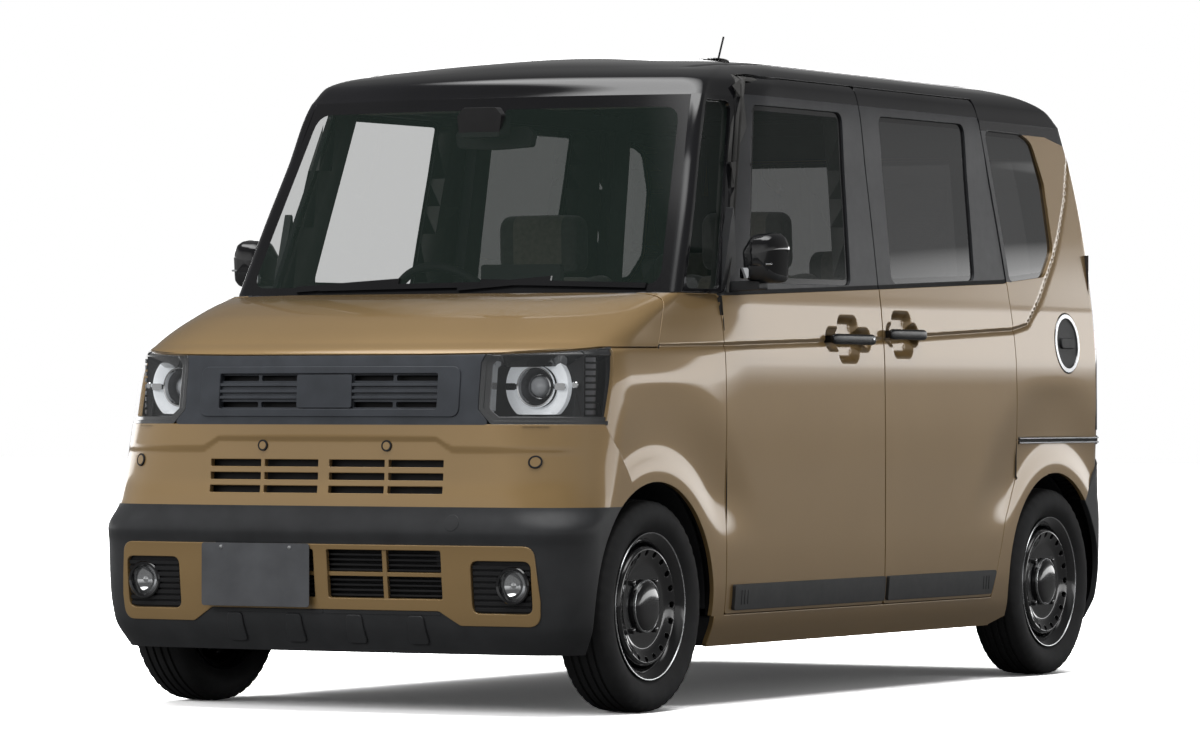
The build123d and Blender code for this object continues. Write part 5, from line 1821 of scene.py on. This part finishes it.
def handleBar(name):
    # a bar with round ends that bows out a little, on two feet. The front one has a lock
    def build():
        f = handleForm
        y0, y1, z = f[name]
        (x0, x1), half = f["x"], f["half"]
        wide = (x1 - x0 - 2) / 2
        bm = bmesh.new()
        rings = []
        for t in (0, 0.01, 0.03, 0.08, 0.2, 0.5, 0.8, 0.92, 0.97, 0.99, 1.0):
            grow = 0.55 + 0.45 * math.sqrt(min(1, min(t, 1 - t) / 0.08))
            middle = (x0 + x1) / 2 - 1.2 + 1.1 * (1 - (2 * t - 1)**2)
            section = roundRect(-wide * grow, wide * grow, -half * grow, half * grow, 7 * grow, 4)
            rings.append([(min(middle + a, x1), y0 + (y1 - y0) * t, z + b) for a, b in section])
        addLoft(bm, rings)
        for start in (y0 + 12, y1 - 42):
            addBox(bm, f["floor"] + 1, x0 + 6, start, start + 30, z - half + 5, z + half - 5)
        if name == "front":
            addLathe(bm, [(-2, 5), (0.6, 4.5), (1.0, 0)], (x1 - 0.9, y1 - 22, z), (1, 0, 0), 20, 1)
        return bm
    return build


solidPair(handleBar("front"), "frontHandle", [handlePlastic, silverTrim], "door_SIDE", ["door_handle_SIDE"],
          smooth=50)
solidPair(handleBar("slide"), "slidingHandle", handlePlastic, "body", ["sliding_handle_SIDE"], smooth=50)


def rearPiece(outline, holes, offset, depth, radius, bm=None, index=None):
    # a piece on the rear quarter, cut out in (y, z)
    sheet = wrapSheet(lowerRows, spread(3.3, (4.0, 90), (4.3, 8)), spread(7, (9, 24), (13, 60)))
    return thinPiece("side", pushed(sheet, offset), outline, holes, depth, radius, bm, index)


def lidCircle(radius, count=64):
    return circle(*quarterForm["lid"], radius, count)


def fuelLid():
    # a bright ring round a dark dish, with a bar across it
    y, z = quarterForm["lid"]
    bm = rearPiece(lidCircle(87, 72), [lidCircle(76, 72)], 2.0, 9, 2.0)
    rearPiece(lidCircle(75), (), -2.0, 6, 2.0, bm, 1)
    return rearPiece(roundRect(y - 46, y + 46, z - 13, z + 13, 12, 5), (), 5.0, 8, 3.0, bm, 1)


place(toObject(fuelLid(), "fuelLid", [silverTrim, claddingPlastic]), "lid", ["fuel_lid"])


lidWell = rearPiece(lidCircle(95), [lidCircle(88)], -3.0, 20, 1.0)
place(toObject(lidWell, "lidWell", darkPlastic), "body")
place(toObject(rearPiece(lidCircle(95), (), -16, 2, 1), "lidFloor", darkPlastic), "body")
# the right side has no lid, so its opening is closed
place(toObject(rearPiece(lidCircle(94), (), -0.4, 10, 1), "rightQuarterFill", paint, "flip"), "body")

print("tail lamps")
# z from, to, material
tailForm = {"front": 1613.0, "rows": [(731.5, 974, 0), (976, 1030, 1), (1032, 1262, 2)]}


def tailLens():
    f = tailForm
    sheet = wrapSheet(lowerRows + upperRows[1:3], spread(3.9, (4.0, 8), (5.0, 22), (5.3, 6)),
                      spread(6, (7, 10), (9, 14), (13, 24), (14, 14)))
    bm = bmesh.new()
    bm.verts.layers.float_vector.new("n")
    for z0, z1, index in f["rows"]:
        def trim(part):
            for axis, value, above in ((2, z0, True), (2, z1, False), (1, f["front"], True), (0, 612, True)):
                cutAt(part, axis, value, above)
        skin(sheet, (), 10, 1.5, marks=trim, bm=bm, index=index)
    return bm


def tailBack():
    # reflector bowls behind the lenses
    bm = bmesh.new()
    for z in (790, 850, 910):
        addLathe(bm, [(0, 26), (-14, 20), (-20, 8), (-21, 0)], (672, 1668, z), (0.35, 1, 0), 32, 0)
    addPrism(bm, [(622, 1650), (690, 1640), (716, 1600), (640, 1600)], 2, 735, 1258, 1)
    return bm


pair(tailLens, "tailLens", [smokeLens, redGlass, whiteLens], "body")
for side in ("left", "right"):
    solid(tailBack(), "tailReflector." + side, [chrome, steelMetal], "body",
          ["tail_lamps"] if side == "left" else (), flip=side == "right")


def gateTrim():
    # handle bar over the plate, camera, washer and the rear wiper
    bm = bmesh.new()
    addPrism(bm, roundRect(-230, 230, 940, 968, 8, 3), 1, 1668, 1683.5, 0)
    addLathe(bm, [(0, 9), (4, 8), (5, 0)], (0, 1674, 934), (0, 1, -0.4), 20, 1)
    addTube(bm, [(0, 1684, 1092), (-60, 1683, 1100), (-300, 1680, 1118), (-330, 1680, 1120)], [9, 7, 5, 4],
            10, 0)
    addLathe(bm, [(-8, 24), (0, 22), (4, 16), (5, 0)], (0, 1679, 1090), (0, 1, 0.08), 28, 0)
    return bm


solid(gateTrim(), "gateTrim", [glossPlastic, darkPlastic], "gate", bevel=1.2)


def rearLights():
    bm = bmesh.new()
    for x in (-600, 520):
        addPrism(bm, roundRect(x, x + 80, 520, 548, 6, 3), 1, 1672, 1688)
    return bm


solid(rearLights(), "rearReflectors", redGlass, "body", bevel=1.5)


print("cabin")

def cushionMesh(halfX, profile, crown, bolster, seams, across=36):
    # a closed cushion: an outline in (y, z) carried across, crowned in the middle, raised
    # at its bolsters, drawn in at its sides and seams
    bm = bmesh.new()
    rings = []
    outline = np.array(softened(profile, 34, 6))
    middle = outline.mean(0)
    reach = np.maximum(np.linalg.norm(outline - middle, axis=1, keepdims=True), 1e-6)
    for u in np.linspace(-1, 1, across + 1):
        shrink = 1 - 0.16 * max(0.0, (abs(u) - 0.86) / 0.14)**2.2
        puff = crown * (1 - abs(u)**2.6)
        dent = sum(math.exp(-((halfX * u - s) / 5.0)**2) for s in seams)
        lift = bolster * 0.28 * math.exp(-((abs(u) - 0.80) / 0.13)**2)
        grow = shrink + (puff * 0.35 + lift * 0.5 - dent * 4.5) / reach
        rings.append([(halfX * u, y, z) for y, z in middle + (outline - middle) * grow])
    addLoft(bm, rings)
    return bm


def seatPart(name, halfX, profile, crown, bolster, seams, middleX, replaced=()):
    # the middle of each cushion has the lighter cloth
    bm = cushionMesh(halfX, profile, crown, bolster, seams)
    bmesh.ops.translate(bm, verts=list(bm.verts), vec=(middleX, 0, 0))
    zone(bm, lambda c: abs(c.x - middleX) < halfX * 0.6, 1)
    obj = solid(bm, name, [seatCloth, seatPanel], "body", replaced, smooth=70)
    fine = obj.modifiers.new("rounded", "SUBSURF")
    fine.levels = fine.render_levels = 1


cushionProfile = [(-402, 470), (-410, 585), (-378, 634), (-30, 622), (30, 560), (20, 470)]
backProfile = [(-20, 600), (58, 1150), (96, 1172), (150, 1148), (150, 1090), (92, 612), (40, 580)]
restProfile = [(54, 1190), (50, 1330), (80, 1350), (124, 1340), (132, 1200), (110, 1186)]


def seatFrame(x):
    bm = bmesh.new()
    for side in (-62, 62):
        addTube(bm, [(x + side, 92, 1120), (x + side, 92, 1215)], 6, 12)
    addBox(bm, x - 190, x + 190, -330, 40, 259, 300)
    for side in (-170, 170):
        addBox(bm, x + side - 16, x + side + 16, -340, 60, 298, 470)
    addBox(bm, x - 205, x + 205, -350, 30, 440, 476)
    return bm


for side, x in (("left", 330.0), ("right", -330.0)):
    seatPart(f"seatCushion.{side}", 235, cushionProfile, 14, 40, (-140, 140), x,
             replaced=["front_seat_" + side])
    seatPart(f"seatBack.{side}", 232, backProfile, 12, 44, (-140, 140), x)
    seatPart(f"headrest.{side}", 130, restProfile, 10, 0, (), x)
    solid(seatFrame(x), "seatFrame." + side, darkPlastic, "body", bevel=3)

rearCushion = [(472, 480), (462, 590), (490, 632), (800, 622), (850, 560), (840, 480)]
rearBack = [(800, 600), (872, 1080), (900, 1100), (946, 1084), (950, 1040), (922, 610), (860, 580)]
seatPart("rearCushion", 518, rearCushion, 12, 20, (-260, 0, 260), 0, replaced=["rear_seat"])
seatPart("rearBack", 518, rearBack, 12, 20, (-260, 0, 260), 0)
for x in (-260, 260):
    profile = [(y + 790, z - 90) for y, z in restProfile]
    seatPart(f"rearHeadrest.{'left' if x > 0 else 'right'}", 115, profile, 8, 0, (), x)


def rearBase():
    bm = bmesh.new()
    addBox(bm, -480, 480, 540, 880, 259, 482)
    for x in (-260, 260):
        for side in (-50, 50):
            addTube(bm, [(x + side, 885, 1060), (x + side, 885, 1120)], 6, 10)
    return bm


solid(rearBase(), "rearSeatBase", carpet, "body", bevel=6)

dashForm = {
    "profile": [(-868, 704), (-868, 1070), (-806, 1088), (-700, 1082), (-640, 1056), (-588, 1010),
                (-574, 960),
                (-600, 900), (-590, 850), (-640, 704)],  # y and z
    "half": 604,
    "sweep": 14,  # how far its ends fall back
}


def dashBody():
    f = dashForm
    bm = bmesh.new()
    profile = softened(f["profile"], 26, 4)
    rings = []
    for x in np.linspace(-f["half"], f["half"], 41):
        sweep = f["sweep"] * (x / f["half"])**2
        rings.append([(x, min(y - (sweep if y > -700 else 0), -560), z) for y, z in profile])
    addLoft(bm, rings)
    return bm


def dashDetail():
    # meter hood, display, vents, switches and the glove box line
    bm = bmesh.new()
    addPrism(bm, softened([(-470, 1040), (-470, 1086), (-440, 1096), (-240, 1096), (-210, 1086),
            (-210, 1040)], 12, 4), 1, -720, -612, 0)
    addPrism(bm, roundRect(-452, -228, 1046, 1084, 8, 4), 1, -616, -608, 1)
    addPrism(bm, roundRect(-80, 170, 1040, 1188, 10, 4), 1, -712, -692, 0)
    addPrism(bm, roundRect(-72, 162, 1052, 1180, 6, 4), 1, -693, -688, 1)
    for x in (-150, 205, 500, -520):
        for k in range(4):
            addBox(bm, x - 42, x + 42, -590, -578, 968 + k * 13, 974 + k * 13, 2)
    addPrism(bm, roundRect(-60, 150, 858, 930, 12, 4), 1, -606, -592, 0)
    for k in range(3):
        addLathe(bm, [(0, 19), (14, 17), (16, 14), (16, 0)], (-10 + k * 55, -594, 895), (0, 1, 0), 28, 2)
    addTube(bm, [(45, -590, 836), (45, -560, 880)], [11, 9], 12, 2)
    addBox(bm, 220, 560, -600, -594, 776, 780, 2)
    return bm


solid(dashBody(), "dashBody", trimPlastic, "body", ["dashboard"], smooth=50, slotName="dash_plastic")
solid(dashDetail(), "dashDetail", [darkPlastic, screenGlass, glossPlastic], "body", bevel=1.5)

steerForm = {"hub": (-340, -441, 1038), "lean": 28.0, "radius": 172, "grip": 14}


lean = math.radians(steerForm["lean"])
steerAxis, steerHub = Vector((0, math.cos(lean), math.sin(lean))), Vector(steerForm["hub"])


def steeringMesh():
    radius, grip = steerForm["radius"], steerForm["grip"]
    up = Vector((0, -math.sin(lean), math.cos(lean)))

    def outwards(turn):
        return Vector((math.cos(turn), 0, 0)) + up * math.sin(turn)

    bm = bmesh.new()
    rings = []
    for turn in np.linspace(0, 2 * math.pi, 73):
        out = outwards(turn)
        rings.append([steerHub + out * (radius + grip * 0.95 * math.cos(s)) + steerAxis * (grip * math.sin(s))
                      for s in np.linspace(0, 2 * math.pi, 13)[:-1]])
    addLoft(bm, rings, caps=False)
    addLathe(bm, [(-14, 52), (8, 56), (15, 48), (19, 30), (20, 0)], steerHub, steerAxis, 40, 0)
    for turn, width in ((0, 15), (180, 15), (-90, 17)):  # the spokes
        out = outwards(math.radians(turn))
        other = steerAxis.cross(out)
        ends = []
        for r, w in ((40, width * 1.5), (90, width), (radius - 6, width * 0.9)):
            c = steerHub + out * r
            ends.append([c + other * a + steerAxis * b for a, b in ((w, -5), (w, 6), (-w, 6), (-w, -5))])
        addLoft(bm, ends, 1)
    bmesh.ops.remove_doubles(bm, verts=list(bm.verts), dist=0.01)
    return bm


def columnMesh():
    bm = bmesh.new()
    addLathe(bm, [(-150, 46), (-90, 44), (-30, 34), (-16, 30)], steerHub, steerAxis, 32)
    for side in (-1, 1):
        path = [steerHub - steerAxis * 52 + Vector((side * 30, 0, 0)),
                steerHub - steerAxis * 48 + Vector((side * 120, 0, 14))]
        addTube(bm, path, [7, 9], 12)
    return bm


solid(steeringMesh(), "steeringWheel", [darkPlastic, silverTrim], "steering", ["steering_wheel"], smooth=50)
solid(columnMesh(), "steeringColumn", darkPlastic, "body", smooth=50)


def cabinFittings():
    # inner mirror, the camera housing behind the windscreen and the sun visors
    bm = bmesh.new()
    addPrism(bm, softened([(-10, 1500), (-120, 1506), (-128, 1545), (-110, 1562), (100, 1562), (118, 1545),
            (110, 1506)], 14, 4), 1, -770, -745, 0)
    addTube(bm, [(0, -775, 1556), (0, -800, 1600)], 8, 12, 0)
    addPrism(bm, softened([(-62, 1530), (62, 1530), (70, 1590), (50, 1612), (-50, 1612), (-70, 1590)], 12, 4),
             1, -862, -806, 0)
    for x in (-300, 300):
        addPrism(bm, roundRect(x - 190, x + 190, -770, -620, 20, 4), 2, 1612, 1624, 1)
    return bm


solid(cabinFittings(), "cabinFittings", [darkPlastic, headliner], "body", bevel=2.5)


def doorTrim():
    # the door's inner panel: armrest, pull, pocket, speaker and release lever
    bm = bmesh.new()
    x = 663
    addPrism(bm, softened([(-740, 300), (100, 300), (100, 1080), (-700, 1050), (-760, 900)], 40, 5), 0, x - 8,
             x + 8, 0)
    addPrism(bm, softened([(-560, 770), (20, 790), (20, 840), (-520, 850), (-620, 812)], 20, 4), 0, x - 44, x,
             1)
    addPrism(bm, softened([(-640, 340), (20, 340), (20, 450), (-600, 470)], 20, 4), 0, x - 40, x, 1)
    addLathe(bm, [(0, 74), (6, 72), (8, 66), (5, 10), (5, 0)], (x - 7, -580, 585), (-1, 0, 0), 48, 1)
    addPrism(bm, roundRect(-560, -470, 900, 940, 12, 4), 0, x - 16, x, 2)
    return bm


solidPair(doorTrim, "doorTrim", [trimPlastic, darkPlastic, silverTrim], "door_SIDE", bevel=2.0)


def slidingTrim():
    bm = bmesh.new()
    x = 663
    addPrism(bm, softened([(200, 300), (830, 300), (930, 600), (930, 1100), (200, 1080)], 40, 5), 0, x - 8,
             x + 8, 0)
    addPrism(bm, softened([(260, 780), (560, 790), (560, 830), (260, 830)], 16, 4), 0, x - 36, x, 1)
    return bm


solidPair(slidingTrim, "slidingTrim", [trimPlastic, darkPlastic], "body", bevel=2.0)


def carpetSheet():
    bm = bmesh.new()
    addPrism(bm, roundRect(-600, 600, -860, 925, 30, 4), 2, 258.4, 264)
    addPrism(bm, roundRect(-505, 505, 975, 1600, 20, 4), 2, 430.4, 438)
    return bm


solid(carpetSheet(), "carpet", carpet, "body", bevel=2)

print("underside")
nodeLooks = {
    structurePaint: ["underbody"],
    steelMetal: ["front_arms", "rear_axle", "radiator", "exhaust"],
    engineMetal: ["knuckle_left", "knuckle_right", "engine_block"],
    darkPlastic: ["fuel_tank"],
    glossPlastic: ["wipers", "antenna"],
}
for material, names in nodeLooks.items():
    for obj in [nodes[name] for name in names]:
        obj.data.materials.clear()
        obj.data.materials.append(material)
        softEdge = obj.modifiers.new("softEdge", "BEVEL")
        softEdge.width = 1.5 * mm
        softEdge.segments = 2
        softEdge.limit_method = "ANGLE"
        softEdge.angle_limit = math.radians(40)
        softEdge.harden_normals = False

cameraForm = {
    "place": (7.912, -14.6424, 0.7981),
    "azimuth": 28.673,
    "elevation": -0.312,
    "roll": 0.065,
    "focal": 5843.5,  # in pixels of a frame 1200 wide
}


def makeCamera():
    c = cameraForm
    a, e, r = (math.radians(c[k]) for k in ("azimuth", "elevation", "roll"))
    back = Vector((math.sin(a) * math.cos(e), -math.cos(a) * math.cos(e), math.sin(e)))
    right = Vector((math.cos(a), math.sin(a), 0))
    up = back.cross(right)
    right, up = right * math.cos(r) + up * math.sin(r), up * math.cos(r) - right * math.sin(r)
    data = bpy.data.cameras.new("camera")
    data.sensor_fit = "HORIZONTAL"
    data.sensor_width = 36.0
    data.lens = c["focal"] * data.sensor_width / 1200
    data.clip_end = 200
    obj = linked("camera", data)
    obj.matrix_world = Matrix.Translation(c["place"]) @ Matrix((right, up, back)).transposed().to_4x4()
    bpy.context.scene.camera = obj


makeCamera()


def areaLight(name, at, target, size, power):
    data = bpy.data.lights.new(name, "AREA")
    data.shape = "RECTANGLE"
    data.size, data.size_y = size
    data.energy = power
    obj = linked(name, data)
    obj.location = at
    obj.rotation_euler = (Vector(target) - Vector(at)).to_track_quat("-Z", "Y").to_euler()
    obj.visible_camera = obj.visible_glossy = False


# a studio: what the car mirrors, by height over the horizon, and plain white for the camera
studioForm = {
    "horizon": [(-1.0, 0.03), (0.0, 0.05), (0.018, 0.06), (0.030, 2.6), (0.108, 2.6), (0.121, 0.20),
                (0.35, 0.10), (1.0, 0.12)],
    "front": [(-1.0, 0.08), (0.0, 0.35), (0.06, 0.62), (0.25, 0.50), (0.50, 0.10), (0.80, 0.10), (0.86, 3.4),
              (1.0, 3.4)],
    "strongest": 5.0,
    "floor": (3.2, 0.12),  # colour seen by the camera and by everything else
    "top": 215, "frontKey": 430, "sideKey": 4,  # watts
}


def skyRamp(tree, height, stops):
    strongest = studioForm["strongest"]
    return ramp(tree, remap(tree, height, 0, 1, -1, 1),
                [((z + 1) / 2, grey(v / strongest)) for z, v in stops])


def grey(v):
    return (v, v, v)


def whiteRays(tree):
    # 1 for what sees plain white: the camera, and rays that go through a pane
    path = addNode(tree, "ShaderNodeLightPath")
    either = addNode(tree, "ShaderNodeMath", operation="MAXIMUM")
    tree.links.new(path.outputs["Is Camera Ray"], either.inputs[0])
    tree.links.new(path.outputs["Is Transmission Ray"], either.inputs[1])
    return either.outputs["Value"]


def makeWorld():
    world = bpy.data.worlds.new("studio")
    bpy.context.scene.world = world
    world.use_nodes = True
    tree = world.node_tree
    at = addNode(tree, "ShaderNodeTexCoord")
    parts = addNode(tree, "ShaderNodeSeparateXYZ")
    tree.links.new(at.outputs["Generated"], parts.inputs["Vector"])
    behind = skyRamp(tree, parts.outputs["Z"], studioForm["horizon"])
    before = skyRamp(tree, parts.outputs["Z"], studioForm["front"])
    side = remap(tree, parts.outputs["Y"], 0, 1, -0.1, 0.4)
    both = addNode(tree, "ShaderNodeMix", data_type="RGBA")
    tree.links.new(side, both.inputs["Factor"])
    tree.links.new(before, both.inputs["A"])
    tree.links.new(behind, both.inputs["B"])
    background = tree.nodes["Background"]
    background.inputs["Strength"].default_value = studioForm["strongest"]
    tree.links.new(both.outputs["Result"], background.inputs["Color"])
    white = addNode(tree, "ShaderNodeBackground")
    white.inputs["Color"].default_value = (1, 1, 1, 1)
    mix = addNode(tree, "ShaderNodeMixShader")
    tree.links.new(whiteRays(tree), mix.inputs["Fac"])
    tree.links.new(background.outputs["Background"], mix.inputs[1])
    tree.links.new(white.outputs["Background"], mix.inputs[2])
    tree.links.new(mix.outputs["Shader"], tree.nodes["World Output"].inputs["Surface"])


def makeFloor():
    bm = bmesh.new()
    bmesh.ops.create_grid(bm, x_segments=2, y_segments=2, size=60)
    mesh = bpy.data.meshes.new("floor")
    bm.to_mesh(mesh)
    bm.free()
    mat, tree, shader = newMaterial("floorPaper", (0.8, 0.8, 0.8), 1.0)
    shader.inputs["Specular IOR Level"].default_value = 0.0
    bright, dim = studioForm["floor"]
    colour = addNode(tree, "ShaderNodeMix", data_type="RGBA")
    colour.inputs["A"].default_value = (dim, dim, dim, 1)
    colour.inputs["B"].default_value = (bright, bright, bright, 1)
    tree.links.new(whiteRays(tree), colour.inputs["Factor"])
    tree.links.new(colour.outputs["Result"], shader.inputs["Base Color"])
    linked("floor", mesh, mat)


makeWorld()
makeFloor()
areaLight("topSoftbox", (0, 1, 6.5), (0, 0, 0.8), (7, 9), studioForm["top"])
areaLight("frontSoftbox", (-3, -10, 4.5), (0, 0, 0.8), (8, 4), studioForm["frontKey"])
areaLight("sideSoftbox", (9, 2, 4.0), (0, 0, 0.9), (9, 4), studioForm["sideKey"])
bpy.context.scene.view_settings.view_transform = "Standard"

print("scene made")
